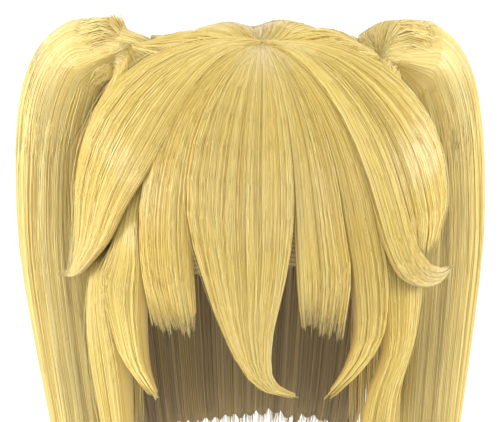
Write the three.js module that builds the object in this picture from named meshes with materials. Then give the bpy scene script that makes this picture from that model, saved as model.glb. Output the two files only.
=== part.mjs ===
// A twin-tail wig: a cap under a coat of hair, front locks that fan out from one whorl, and two long tails,
// each gathered up at the side of the crown in an elastic tie.
// Millimetres, +Z up, the face side towards -Y, left and right as seen from the front.
// The origin is the highest point of the hollow that takes the head.
import * as THREE from 'three';
import { mergeVertices } from 'three/addons/utils/BufferGeometryUtils.js';

// The head that the cap fits
const headWidth = 156;
const headLength = 192;
const crownHeight = 104; // top of the head down to its widest level
const capWall = 2.5;

// The coat of hair outside the cap
const hairDepthSide = 23.5;
const hairDepthFront = 19.5;
const hairDepthTop = 11.5;
const fullness = 0.5; // how much squarer than an ellipse the coat stands at the sides, 0 being an ellipse
const fallLength = 165; // back hair below the head's widest level
const clearance = 0.6; // air between two layers of hair
const seatGap = 0.3; // air between a piece and what it sits on
const ribHeight = 1.0; // how far a clump stands out of its lock
const edgeShare = 0.55; // thickness of a lock along its edges, as a share of its middle
const crownHem = 0.02; // how much sooner than the cap the base coat ends, as a share of along

// The tails and their ties
const rootRadius = 9;
const tieCord = 3.6; // thickness of the elastic
const tailLength = 400;
const tailSetback = 21;
const tailWidth = 43;
const tailDepth = 46;
const tuftLength = 18;
const tuftWidth = 8;
const tuftTip = 0.16; // width of the tuft's tip, as a share of its root
const tuftFlatness = 0.5; // thickness of the tuft, as a share of its width
const tuftTaper = 1.3; // power by which it narrows: above 1 it stays wide longer
const ringRadius = rootRadius + seatGap + tieCord / 2;
const plateau = rootRadius + tieCord + 5 * seatGap; // radius of the flat seat under a tie
const neckLength = tieCord + 4 * seatGap; // straight part of a tail, inside its tie

// How finely the solids are divided
const domeTurns = 20;
const domeRows = 8;
const tailSides = 16;
const tailStations = 26;
const gatherRings = 6;
const cordSides = 8;
const ringSides = 20;
const tuftSides = 8;
const tuftStations = 4;
const finePerRow = 12; // samples between two rows of a table when its length is measured

// Depth of the base coat, and of the hair gathered over it, as shares of the coat's full depth
const baseDepth = 0.3;
const gatherDepth = 0.58;

const hairColour = 0xe8cf7a;
const shadeColour = 0xcfae5c;
const elasticColour = 0x3a2d24;

// Hairline: how far down the cap reaches at each azimuth, along 1 being the widest level
const HAIRLINE = [
  { azimuth: 0, along: 0.74 },
  { azimuth: 40, along: 0.82 },
  { azimuth: 65, along: 1.0 },
  { azimuth: 85, along: 1.1 },
  { azimuth: 110, along: 1.04 },
  { azimuth: 145, along: 1.3 },
  { azimuth: 180, along: 1.4 },
];

// Each tie and its tail. azimuth and along: where it sits, in degrees from the front and as for the locks.
// rise: how high the hair is gathered under it. reach: how far the tail swings out. arch: how far it first
// rises. splay: how much further out its tip hangs.
const TIES = [
  { name: 'left', side: -1, azimuth: 112, along: 0.46, rise: 12, reach: 43, arch: 4, splay: -8 },
  { name: 'right', side: 1, azimuth: 111, along: 0.5, rise: 9, reach: 43, arch: 5, splay: 8 },
];

// Locks that lie on the head. along: 0 at the whorl, 1 at the widest level, 2 at the foot of the back hair.
// left and right: azimuth of the lock's two edges, in degrees. tilt: how much further along the right edge is.
// low and high: underside and crest, as shares of the depth of the hair. lean: what the right edge adds to low.
const FRINGE_LEFT = [
  { along: 0.05, left: -62, right: -39, tilt: 0, low: 0.3, lean: 0, high: 0.5 },
  { along: 0.16, left: -61, right: -39, tilt: 0, low: 0.3, lean: 0, high: 0.74 },
  { along: 0.45, left: -59, right: -39, tilt: 0, low: 0.3, lean: 0, high: 0.8 },
  { along: 0.75, left: -56, right: -36, tilt: 0, low: 0.3, lean: 0, high: 0.8 },
  { along: 0.96, left: -51.5, right: -31.5, tilt: 0, low: 0.34, lean: 0, high: 0.78 },
  { along: 1.13, left: -48.5, right: -29.5, tilt: -0.03, low: 0.4, lean: 0, high: 0.64 },
];
const FRINGE_CENTER = [
  { along: 0.05, left: -39, right: 4, tilt: 0, low: 0.3, lean: 0, high: 0.5 },
  { along: 0.16, left: -39, right: 4, tilt: 0, low: 0.3, lean: 0, high: 0.78 },
  { along: 0.45, left: -39, right: 3.2, tilt: 0, low: 0.3, lean: 0, high: 0.9 },
  { along: 0.72, left: -35.5, right: 1.5, tilt: 0, low: 0.3, lean: 0, high: 0.95 },
  { along: 0.9, left: -29.5, right: -1.5, tilt: 0, low: 0.34, lean: 0, high: 0.97 },
  { along: 1.07, left: -23, right: -5.5, tilt: 0, low: 0.4, lean: 0, high: 0.97 },
  { along: 1.2, left: -16.5, right: -6.5, tilt: 0, low: 0.5, lean: 0, high: 0.95 },
  { along: 1.275, left: -10, right: -4, tilt: -0.01, low: 0.55, lean: 0, high: 0.88 },
  { along: 1.31, left: 0.5, right: 3, tilt: -0.01, low: 0.6, lean: 0, high: 0.72 },
];
const FRINGE_RIGHT = [
  { along: 0.05, left: 4, right: 23, tilt: 0, low: 0.3, lean: 0, high: 0.5 },
  { along: 0.16, left: 4, right: 22, tilt: 0, low: 0.3, lean: 0, high: 0.74 },
  { along: 0.45, left: 3.2, right: 20.5, tilt: 0, low: 0.3, lean: 0, high: 0.8 },
  { along: 0.75, left: 1.8, right: 20, tilt: 0, low: 0.3, lean: 0, high: 0.8 },
  { along: 0.93, left: 1, right: 21, tilt: 0, low: 0.34, lean: 0, high: 0.78 },
  { along: 1.07, left: 2.2, right: 19, tilt: 0.05, low: 0.4, lean: 0, high: 0.64 },
];
const FACE_LOCK_RIGHT = [
  { along: 0.05, left: 23, right: 36, tilt: 0, low: 0.3, lean: 0, high: 0.5 },
  { along: 0.16, left: 22, right: 35, tilt: 0, low: 0.3, lean: 0, high: 0.74 },
  { along: 0.45, left: 20.5, right: 33.5, tilt: 0, low: 0.3, lean: 0, high: 0.8 },
  { along: 0.76, left: 20, right: 33.8, tilt: 0, low: 0.3, lean: 0, high: 0.8 },
  { along: 0.97, left: 22, right: 35.5, tilt: 0, low: 0.36, lean: 0, high: 0.8 },
  { along: 1.12, left: 22.5, right: 34.5, tilt: 0, low: 0.42, lean: 0, high: 0.82 },
  { along: 1.23, left: 18.5, right: 27.5, tilt: 0, low: 0.48, lean: 0, high: 0.8 },
  { along: 1.33, left: 10.5, right: 14, tilt: 0, low: 0.55, lean: 0, high: 0.7 },
];
const FACE_LOCK_LEFT = [
  { along: 0.6, left: -67, right: -60, tilt: 0, low: 0.29, lean: 0, high: 0.46 },
  { along: 0.8, left: -66, right: -58, tilt: 0, low: 0.29, lean: 0, high: 0.6 },
  { along: 0.93, left: -70, right: -53.5, tilt: 0, low: 0.32, lean: 0, high: 0.74 },
  { along: 1.04, left: -75, right: -53, tilt: 0, low: 0.34, lean: 0, high: 0.84 },
  { along: 1.16, left: -68.5, right: -52.5, tilt: 0, low: 0.38, lean: 0, high: 0.86 },
  { along: 1.28, left: -61, right: -50, tilt: 0, low: 0.46, lean: 0, high: 0.84 },
  { along: 1.38, left: -50, right: -45, tilt: 0, low: 0.52, lean: 0, high: 0.76 },
];
const SWEPT_LEFT = [
  { along: 0.07, left: -94, right: -62, tilt: 0, low: 0.66, lean: 0, high: 0.86 },
  { along: 0.2, left: -94, right: -56, tilt: 0, low: 0.8, lean: 0.02, high: 1.04 },
  { along: 0.4, left: -90, right: -51, tilt: 0, low: 0.78, lean: 0.04, high: 1.14 },
  { along: 0.6, left: -84, right: -51.5, tilt: 0, low: 0.72, lean: 0.1, high: 1.14 },
  { along: 0.78, left: -83, right: -57, tilt: -0.02, low: 0.7, lean: 0.12, high: 1.14 },
  { along: 0.92, left: -87, right: -64, tilt: -0.03, low: 0.8, lean: 0.04, high: 1.12 },
  { along: 1.03, left: -89, right: -75, tilt: -0.03, low: 0.9, lean: 0, high: 1.14 },
  { along: 1.09, left: -91, right: -84, tilt: -0.01, low: 1.06, lean: 0, high: 1.27 },
  { along: 1.115, left: -94, right: -91, tilt: 0, low: 1.38, lean: 0, high: 1.48 },
];
const SWEPT_RIGHT = [
  { along: 0.07, left: 36, right: 50, tilt: 0, low: 0.64, lean: 0, high: 0.84 },
  { along: 0.2, left: 33, right: 46, tilt: 0, low: 0.76, lean: 0, high: 1 },
  { along: 0.45, left: 30.5, right: 42.2, tilt: 0, low: 0.76, lean: 0, high: 1.12 },
  { along: 0.73, left: 30.5, right: 41.2, tilt: 0, low: 0.76, lean: 0, high: 1.16 },
  { along: 0.86, left: 32, right: 43.5, tilt: 0.01, low: 0.82, lean: 0, high: 1.18 },
  { along: 0.95, left: 36, right: 48, tilt: -0.02, low: 0.92, lean: 0, high: 1.18 },
  { along: 1.01, left: 45, right: 51, tilt: -0.05, low: 0.94, lean: 0, high: 1.18 },
  { along: 1.04, left: 54, right: 56, tilt: -0.055, low: 0.97, lean: 0, high: 1.18 },
  { along: 1.05, left: 62, right: 61.5, tilt: -0.04, low: 1.02, lean: 0, high: 1.2 },
  { along: 1.04, left: 69, right: 68, tilt: -0.012, low: 1.12, lean: 0, high: 1.24 },
];
const CHEEK_LOCK_RIGHT = [
  { along: 0.07, left: 53, right: 88, tilt: 0, low: 0.6, lean: 0, high: 0.74 },
  { along: 0.22, left: 47, right: 88, tilt: 0, low: 0.64, lean: 0.08, high: 0.96 },
  { along: 0.42, left: 42.6, right: 87, tilt: 0, low: 0.56, lean: 0.2, high: 1.06 },
  { along: 0.66, left: 41.6, right: 88, tilt: 0, low: 0.5, lean: 0.26, high: 1.1 },
  { along: 0.86, left: 43.8, right: 84, tilt: 0, low: 0.52, lean: 0.14, high: 1.04 },
  { along: 0.98, left: 50, right: 80, tilt: 0.03, low: 0.6, lean: 0, high: 0.88 },
];
const SIDE_LOCK_LEFT = [
  { along: 0.995, left: -92, right: -77, tilt: -0.035, low: 0.29, lean: 0, high: 0.6 },
  { along: 1.12, left: -90, right: -73.5, tilt: 0, low: 0.31, lean: 0, high: 0.82 },
  { along: 1.3, left: -87, right: -64, tilt: 0, low: 0.34, lean: 0, high: 0.94 },
  { along: 1.5, left: -80, right: -62, tilt: 0, low: 0.34, lean: 0, high: 0.86 },
  { along: 1.72, left: -74, right: -61, tilt: 0, low: 0.36, lean: 0, high: 0.7 },
  { along: 1.9, left: -70, right: -65, tilt: 0, low: 0.4, lean: 0, high: 0.55 },
];
const SIDE_LOCK_RIGHT = [
  { along: 0.8, left: 38, right: 58, tilt: 0.02, low: 0.3, lean: 0, high: 0.5 },
  { along: 0.98, left: 37, right: 64, tilt: 0.02, low: 0.3, lean: 0, high: 0.58 },
  { along: 1.2, left: 36, right: 52, tilt: 0, low: 0.4, lean: 0, high: 0.8 },
  { along: 1.36, left: 29, right: 43, tilt: 0, low: 0.4, lean: 0, high: 0.8 },
  { along: 1.58, left: 26, right: 40, tilt: 0, low: 0.38, lean: 0, high: 0.76 },
  { along: 1.82, left: 27, right: 32, tilt: 0, low: 0.42, lean: 0, high: 0.58 },
];
const BACK_HAIR = [
  { along: 0.05, left: 102, right: 258, tilt: 0, low: 0.3, lean: 0, high: 0.54 },
  { along: 0.17, left: 117, right: 243, tilt: 0, low: 0.3, lean: 0, high: 1.3 },
  { along: 0.4, left: 124, right: 236, tilt: 0, low: 0.3, lean: 0, high: 1.16 },
  { along: 0.8, left: 123, right: 237, tilt: 0, low: 0.3, lean: 0, high: 1.02 },
  { along: 1.15, left: 120, right: 240, tilt: 0, low: 0.32, lean: 0, high: 0.96 },
  { along: 1.42, left: 123, right: 237, tilt: 0, low: 0.32, lean: 0, high: 0.9 },
  { along: 1.64, left: 125, right: 235, tilt: 0, low: 0.2, lean: 0, high: 0.78 },
  { along: 1.86, left: 127, right: 233, tilt: 0, low: 0.08, lean: 0, high: 0.56 },
  { along: 2, left: 131, right: 229, tilt: 0, low: 0.06, lean: 0, high: 0.3 },
];

// Hair gathered up to a tie: where the fan's edge lies in each direction, how deep the coat is there, and how
// soon the slope falls away from the tie, under 1 for a ridge
const GATHER_EDGE = [
  { azimuth: 102, along: 0.07, high: 0.7, slope: 0.5 },
  { azimuth: 93, along: 0.15, high: 0.84, slope: 0.8 },
  { azimuth: 82, along: 0.32, high: 0.56, slope: 1.9 },
  { azimuth: 73, along: 0.6, high: 0.58, slope: 2.8 },
  { azimuth: 69, along: 0.82, high: 0.6, slope: 2.6 },
  { azimuth: 78, along: 0.93, high: 0.66, slope: 2 },
  { azimuth: 94, along: 0.97, high: 0.92, slope: 1.7 },
  { azimuth: 110, along: 0.98, high: 0.9, slope: 1.9 },
  { azimuth: 118, along: 0.84, high: 0.82, slope: 2.2 },
  { azimuth: 120, along: 0.58, high: 0.86, slope: 1.6 },
  { azimuth: 121, along: 0.36, high: 1.2, slope: 1 },
  { azimuth: 115, along: 0.16, high: 1.15, slope: 0.9 },
];

// A tail's centreline from the end of its neck, as shares of its reach, arch, length and setback, and how much
// of its section is the round root and how much the full oval
const TAIL = [
  { out: 0, lift: 0, drop: 0, back: 0, root: 1, girth: 0 },
  { out: 0.1, lift: 0.8, drop: 0, back: 0.12, root: 0.7, girth: 0.3 },
  { out: 0.25, lift: 1.2, drop: 0, back: 0.28, root: 0.2, girth: 0.75 },
  { out: 0.45, lift: 0.9, drop: 0, back: 0.48, root: 0, girth: 0.95 },
  { out: 0.68, lift: 0, drop: 0.01, back: 0.68, root: 0, girth: 1 },
  { out: 0.86, lift: 0, drop: 0.055, back: 0.84, root: 0, girth: 1 },
  { out: 0.97, lift: 0, drop: 0.12, back: 0.96, root: 0, girth: 1 },
  { out: 1, lift: 0, drop: 0.2, back: 1, root: 0, girth: 1 },
  { out: 0.99, lift: 0, drop: 0.3, back: 1, root: 0, girth: 1 },
  { out: 0.88, lift: 0, drop: 0.42, back: 1, root: 0, girth: 0.98 },
  { out: 0.74, lift: 0, drop: 0.56, back: 1, root: 0, girth: 0.92 },
  { out: 0.62, lift: 0, drop: 0.7, back: 1, root: 0, girth: 0.8 },
  { out: 0.55, lift: 0, drop: 0.85, back: 1, root: 0, girth: 0.56 },
  { out: 0.52, lift: 0, drop: 0.95, back: 1, root: 0, girth: 0.32 },
  { out: 0.52, lift: 0, drop: 1, back: 1, root: 0, girth: 0.1 },
];

const radians = (degrees) => (degrees * Math.PI) / 180;
const mix = (a, b, t) => a + (b - a) * t;

// A value of one column of a table at share t of the way through its rows, on a smooth curve
function column(rows, name, t) {
  const at = Math.min(Math.max(t, 0), 1) * (rows.length - 1);
  const i = Math.min(Math.floor(at), rows.length - 2);
  const f = at - i;
  const value = (k) => rows[Math.min(Math.max(k, 0), rows.length - 1)][name];
  const [p, q, r, s] = [value(i - 1), value(i), value(i + 1), value(i + 2)];
  return q + 0.5 * f * (r - p + f * (2 * p - 5 * q + 4 * r - s + f * (3 * (q - r) + s - p)));
}

const atShare = (names, rows, t) => Object.fromEntries(names.map((n) => [n, column(rows, n, t)]));

// Rows of a table along the path that placeOf gives, at steps that are even in length and in rows alike
function evenRows(rows, count, placeOf) {
  const names = Object.keys(rows[0]);
  const fine = finePerRow * (rows.length - 1);
  const samples = Array.from({ length: fine + 1 }, (_, i) => atShare(names, rows, i / fine));
  const places = samples.map(placeOf);
  const travelled = [0];
  const whole = places.slice(1).reduce((sum, place, i) => sum + place.distanceTo(places[i]), 0);
  for (let i = 1; i <= fine; i++) {
    travelled.push(travelled[i - 1] + places[i].distanceTo(places[i - 1]) + whole / fine);
  }
  return Array.from({ length: count + 1 }, (_, k) => {
    const goal = (travelled[fine] * k) / count;
    const i = Math.min(Math.max(travelled.findIndex((d) => d >= goal), 1), fine);
    const f = (goal - travelled[i - 1]) / (travelled[i] - travelled[i - 1]);
    return atShare(names, rows, (i - 1 + f) / fine);
  });
}

// A point over the head: on a rounded dome down to the widest level, and straight down below it. The dome
// is an ellipsoid at the cap and stands squarer towards the outside of the coat and towards the sides.
function onHead(azimuth, way, depth, rise = 0) {
  const turn = radians(azimuth);
  const dip = (Math.min(way, 1) * Math.PI) / 2;
  const power = 2 + fullness * Math.max(depth, 0) * Math.sin(turn) ** 2;
  const swell = (Math.abs(Math.sin(dip)) ** power + Math.cos(dip) ** power) ** (-1 / power);
  const across = headWidth / 2 + capWall + hairDepthSide * depth + rise;
  const forward = headLength / 2 + capWall + hairDepthFront * depth + rise;
  const upward = crownHeight + capWall + hairDepthTop * depth + rise;
  const fall = Math.max(way - 1, 0) * fallLength;
  return new THREE.Vector3(
    across * swell * Math.sin(dip) * Math.sin(turn),
    -forward * swell * Math.sin(dip) * Math.cos(turn),
    upward * swell * Math.cos(dip) - crownHeight - fall,
  );
}

// Outward direction of the hair at a point over the head
function outward(azimuth, way, depth) {
  const step = 0.01;
  const down = onHead(azimuth, way + step, depth).sub(onHead(azimuth, way - step, depth));
  const round = onHead(azimuth + 90 * step, way, depth).sub(onHead(azimuth - 90 * step, way, depth));
  return down.cross(round).normalize();
}

// A closed solid from loops of points: walls between neighbouring loops and a strip or fan over each end
function loft(loops, closeEnd) {
  const around = loops[0].length;
  const points = loops.flat();
  const faces = [];
  for (let i = 0; i + 1 < loops.length; i++) {
    for (let j = 0; j < around; j++) {
      const k = (j + 1) % around;
      const [a, b, c, d] = [i * around + j, i * around + k, (i + 1) * around + k, (i + 1) * around + j];
      faces.push([a, b, c], [a, c, d]);
    }
  }
  faces.push(...closeEnd(around).map(([a, b, c]) => [a, c, b]));
  const last = (loops.length - 1) * around;
  faces.push(...closeEnd(around).map((f) => f.map((v) => v + last)));
  return solidOf(points, faces);
}

// Triangles over a flat loop whose second half runs back under its first half
function stripEnd(around) {
  const faces = [];
  for (let j = 0; j + 1 < around / 2; j++) {
    const [a, b, c, d] = [j, j + 1, around - 2 - j, around - 1 - j];
    faces.push([a, b, c], [a, c, d]);
  }
  return faces;
}

// Triangles over a round loop, from its first point
function fanEnd(around) {
  return Array.from({ length: around - 2 }, (_, j) => [0, j + 1, j + 2]);
}

// A closed shape with its faces turned outwards
function solidOf(points, faces) {
  const signed = faces.reduce(
    (sum, [a, b, c]) => sum + points[a].dot(points[b].clone().cross(points[c])), 0,
  );
  const turned = signed < 0 ? faces.map(([a, b, c]) => [a, c, b]) : faces;
  const geometry = new THREE.BufferGeometry();
  const places = points.flatMap((point) => point.toArray());
  geometry.setAttribute('position', new THREE.Float32BufferAttribute(places, 3));
  geometry.setIndex(turned.flat());
  return mergeVertices(geometry);
}

// One lock lying on the head: crowned and ribbed outside, plain underneath, thin at its edges
function lock(rows, { stations, across, ribs }) {
  const middle = (r) => onHead((r.left + r.right) / 2, r.along + r.tilt / 2, r.high);
  const loops = evenRows(rows, stations, middle).map((r) => {
    const radius = (headWidth / 2) * Math.sin((Math.min(r.along, 1) * Math.PI) / 2);
    const inset = THREE.MathUtils.radToDeg(clearance / 2 / radius) * Math.sign(r.right - r.left);
    const top = [];
    const under = [];
    for (let j = 0; j <= across; j++) {
      const t = j / across;
      const azimuth = mix(r.left + inset, r.right - inset, t);
      const way = r.along + r.tilt * t;
      const low = r.low + r.lean * t;
      const crown = mix(edgeShare, 1, Math.sin(Math.PI * t) ** 0.6);
      const groove = -ribHeight * Math.sin(Math.PI * ribs * t) ** 2 * Math.sin(Math.PI * t);
      top.push(onHead(azimuth, way, mix(low, r.high, crown), groove));
      under.push(onHead(azimuth, way, low, clearance));
    }
    return [...top, ...under.reverse()];
  });
  return loft(loops, stripEnd);
}

// How far down the hairline is at an azimuth from -180 to 180
function hairline(azimuth) {
  const a = Math.abs(azimuth);
  const k = HAIRLINE.findIndex((row) => row.azimuth >= a);
  if (k <= 0) return HAIRLINE[0].along;
  const [p, q] = [HAIRLINE[k - 1], HAIRLINE[k]];
  return mix(p.along, q.along, THREE.MathUtils.smoothstep(a, p.azimuth, q.azimuth));
}

// A shell over the head from the whorl to near the hairline, open underneath
function dome(inner, outer, hem) {
  const points = [];
  const index = (layer, i, j) => 2 + (layer * domeRows + i - 1) * domeTurns + (j % domeTurns);
  points.push(onHead(0, 0, inner.depth, inner.rise), onHead(0, 0, outer.depth, outer.rise));
  for (const { depth, rise } of [inner, outer]) {
    for (let i = 1; i <= domeRows; i++) {
      for (let j = 0; j < domeTurns; j++) {
        const azimuth = mix(-180, 180, j / domeTurns);
        points.push(onHead(azimuth, ((hairline(azimuth) - hem) * i) / domeRows, depth, rise));
      }
    }
  }
  const faces = [];
  for (let j = 0; j < domeTurns; j++) {
    faces.push([0, index(0, 1, j + 1), index(0, 1, j)], [1, index(1, 1, j), index(1, 1, j + 1)]);
    for (let i = 1; i < domeRows; i++) {
      const [a, b, c, d] = [index(0, i, j), index(0, i, j + 1), index(0, i + 1, j + 1), index(0, i + 1, j)];
      faces.push([a, b, c], [a, c, d]);
      const [e, f, g, h] = [a, b, c, d].map((v) => v + domeRows * domeTurns);
      faces.push([e, g, f], [e, h, g]);
    }
    const [p, q] = [index(0, domeRows, j), index(0, domeRows, j + 1)];
    const [r, s] = [index(1, domeRows, j), index(1, domeRows, j + 1)];
    faces.push([p, q, s], [p, s, r]);
  }
  return solidOf(points, faces);
}

// The fan of hair that rises from all round to one tie
function gather(tie) {
  const turns = 2 * GATHER_EDGE.length;
  const seat = seatOf(tie);
  const reach = (edge) => onHead(edge.azimuth, edge.along, gatherDepth).distanceTo(
    onHead(tie.azimuth, tie.along, gatherDepth),
  );
  const top = [];
  const under = [];
  for (let i = 0; i <= gatherRings; i++) {
    for (let j = 0; j < turns; j++) {
      const edge = edgeOf(j / turns);
      const s = mix(plateau / reach(edge), 1, i / gatherRings);
      const azimuth = tie.side * mix(tie.azimuth, edge.azimuth, s);
      const way = mix(tie.along, edge.along, s);
      const rise = tie.rise * (1 - i / gatherRings) ** edge.slope;
      const groove = ribHeight * (j % 2) * Math.sin((Math.PI * i) / gatherRings);
      const full = mix(gatherDepth, edge.high, s ** 2);
      const high = mix(full, mix(baseDepth, full, edgeShare), Math.max(0, 4 * s - 3));
      const lean = outward(azimuth, way, high).lerp(seat.normal, 1 - s).normalize();
      const skin = onHead(azimuth, way, high, -groove).addScaledVector(lean, rise);
      if (i === 0) {
        const radial = skin.sub(seat.point).projectOnPlane(seat.normal).setLength(plateau);
        top.push(radial.add(seat.point));
      } else {
        top.push(skin);
      }
      under.push(onHead(azimuth, way, baseDepth, clearance + seatGap));
    }
  }
  const foot = onHead(tie.side * tie.azimuth, tie.along, baseDepth, clearance + seatGap);
  const points = [...top, ...under, seat.point, foot];
  const base = top.length;
  const faces = [];
  for (let j = 0; j < turns; j++) {
    const k = (j + 1) % turns;
    faces.push([2 * base, j, k], [2 * base + 1, base + k, base + j]);
    for (let i = 0; i < gatherRings; i++) {
      const [a, b, c, d] = [i * turns + j, i * turns + k, (i + 1) * turns + k, (i + 1) * turns + j];
      faces.push([a, d, c], [a, c, b], [base + a, base + c, base + d], [base + a, base + b, base + c]);
    }
    const [p, q] = [gatherRings * turns + j, gatherRings * turns + k];
    faces.push([p, base + p, base + q], [p, base + q, q]);
  }
  return solidOf(points, faces);
}

// The fan's edge at a share of the way round it, on a smooth closed curve
function edgeOf(t) {
  const closed = [...GATHER_EDGE.slice(-1), ...GATHER_EDGE, ...GATHER_EDGE.slice(0, 2)];
  const share = (1 + t * GATHER_EDGE.length) / (closed.length - 1);
  return atShare(Object.keys(closed[0]), closed, share);
}

// Where a tail leaves the gathered hair, and the direction it leaves in
function seatOf(tie) {
  const normal = outward(tie.side * tie.azimuth, tie.along, gatherDepth);
  const point = onHead(tie.side * tie.azimuth, tie.along, gatherDepth).addScaledVector(normal, tie.rise);
  return { point, normal };
}

// A tail: a round neck through the elastic, then an oval bundle with rounded clumps swept along its centreline
function tail(tie) {
  const { point, normal } = seatOf(tie);
  const neckEnd = point.clone().addScaledVector(normal, neckLength);
  const placeOf = (row) => neckEnd.clone().add(
    new THREE.Vector3(
      tie.side * (row.out * tie.reach + row.drop * tie.splay),
      row.back * tailSetback,
      row.lift * tie.arch - row.drop * tailLength,
    ),
  );
  const rows = evenRows(TAIL, tailStations, placeOf);
  const path = rows.map(placeOf);
  const loopAt = (centre, ahead, wide, deep, clump) => {
    const deepAxis = new THREE.Vector3(0, 1, 0).projectOnPlane(ahead).normalize();
    const wideAxis = new THREE.Vector3().crossVectors(ahead, deepAxis);
    return Array.from({ length: tailSides }, (_, j) => {
      const turn = (2 * Math.PI * j) / tailSides;
      return centre.clone()
        .addScaledVector(wideAxis, (wide - clump * (j % 2)) * Math.cos(turn))
        .addScaledVector(deepAxis, (deep - clump * (j % 2)) * Math.sin(turn));
    });
  };
  const loops = path.map((centre, i) => {
    const next = path[Math.min(i + 1, tailStations)];
    const ahead = i === 0 ? normal : next.clone().sub(path[i - 1]).normalize();
    const wide = rootRadius * rows[i].root + (tailWidth / 2) * rows[i].girth;
    const deep = rootRadius * rows[i].root + (tailDepth / 2) * rows[i].girth;
    return loopAt(centre, ahead, wide, deep, ribHeight * Math.sin((Math.PI * i) / tailStations));
  });
  const seated = point.clone().addScaledVector(normal, seatGap);
  return loft([loopAt(seated, normal, rootRadius, rootRadius, 0), ...loops], fanEnd);
}

// The middle of the elastic
function ringCentre(tie) {
  const { point, normal } = seatOf(tie);
  return point.addScaledVector(normal, 2 * seatGap + tieCord / 2);
}

// The elastic that holds a tail at its root
function elasticRing(tie) {
  const geometry = new THREE.TorusGeometry(ringRadius, tieCord / 2, cordSides, ringSides);
  const { normal } = seatOf(tie);
  const centre = ringCentre(tie);
  geometry.applyQuaternion(new THREE.Quaternion().setFromUnitVectors(new THREE.Vector3(0, 0, 1), normal));
  geometry.translate(centre.x, centre.y, centre.z);
  geometry.deleteAttribute('normal');
  geometry.deleteAttribute('uv');
  return mergeVertices(geometry);
}

// A short tuft that stands up on top of a tie's elastic
function tuft(tie) {
  const { normal } = seatOf(tie);
  const up = new THREE.Vector3(0, 0, 1).projectOnPlane(normal).normalize();
  const sideways = new THREE.Vector3().crossVectors(up, normal);
  const start = ringCentre(tie).addScaledVector(up, ringRadius + tieCord / 2 + seatGap);
  const loops = Array.from({ length: tuftStations + 1 }, (_, i) => {
    const t = i / tuftStations;
    const half = (tuftWidth / 2) * mix(1, tuftTip, t ** tuftTaper);
    const centre = start.clone().addScaledVector(up, tuftLength * t);
    return Array.from({ length: tuftSides }, (_, j) => {
      const turn = (2 * Math.PI * j) / tuftSides;
      return centre.clone()
        .addScaledVector(sideways, half * Math.cos(turn))
        .addScaledVector(normal, half * tuftFlatness * Math.sin(turn));
    });
  });
  return loft(loops, fanEnd);
}

const hair = new THREE.MeshStandardMaterial({ color: hairColour, roughness: 0.45, metalness: 0 });
const shadedHair = new THREE.MeshStandardMaterial({ color: shadeColour, roughness: 0.55, metalness: 0 });
const elastic = new THREE.MeshStandardMaterial({ color: elasticColour, roughness: 0.8, metalness: 0 });

const wig = new THREE.Group();

function add(name, geometry, material) {
  const mesh = new THREE.Mesh(geometry, material);
  mesh.name = name;
  wig.add(mesh);
}

add('cap', dome({ depth: 0, rise: -capWall }, { depth: 0, rise: 0 }, 0), shadedHair);
add('crown_hair', dome({ depth: 0, rise: clearance }, { depth: baseDepth, rise: 0 }, crownHem), hair);
add('back_hair', lock(BACK_HAIR, { stations: 20, across: 18, ribs: 6 }), hair);
add('fringe_left', lock(FRINGE_LEFT, { stations: 11, across: 6, ribs: 3 }), hair);
add('fringe_center', lock(FRINGE_CENTER, { stations: 14, across: 8, ribs: 4 }), hair);
add('fringe_right', lock(FRINGE_RIGHT, { stations: 11, across: 6, ribs: 3 }), hair);
add('face_lock_left', lock(FACE_LOCK_LEFT, { stations: 9, across: 4, ribs: 2 }), hair);
add('face_lock_right', lock(FACE_LOCK_RIGHT, { stations: 13, across: 4, ribs: 2 }), hair);
add('swept_lock_left', lock(SWEPT_LEFT, { stations: 14, across: 6, ribs: 3 }), hair);
add('swept_lock_right', lock(SWEPT_RIGHT, { stations: 16, across: 4, ribs: 2 }), hair);
add('cheek_lock_right', lock(CHEEK_LOCK_RIGHT, { stations: 11, across: 8, ribs: 4 }), hair);
add('side_lock_left', lock(SIDE_LOCK_LEFT, { stations: 8, across: 6, ribs: 3 }), hair);
add('side_lock_right', lock(SIDE_LOCK_RIGHT, { stations: 8, across: 6, ribs: 3 }), hair);
for (const tie of TIES) {
  add(`gather_${tie.name}`, gather(tie), hair);
  add(`tail_${tie.name}`, tail(tie), hair);
  add(`tie_${tie.name}`, elasticRing(tie), elastic);
}
add('tuft_left', tuft(TIES[0]), hair);

export default wig;
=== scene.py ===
# %% [markdown]
# # A twin-tail wig
#
# The real thing is a fibre wig: a thin net cap, a coat of smooth heat-set fibre combed out from one whorl,
# front locks cut blunt or tapered, and two long tails held by elastics. Hair reads as hair through three
# scales at once: the outline of each lock, the clumps inside a lock, and single strands. So every lock here
# is a closed grooved sheet with a layer of real strand tubes over it, both worked out from one formula.

import math

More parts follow.
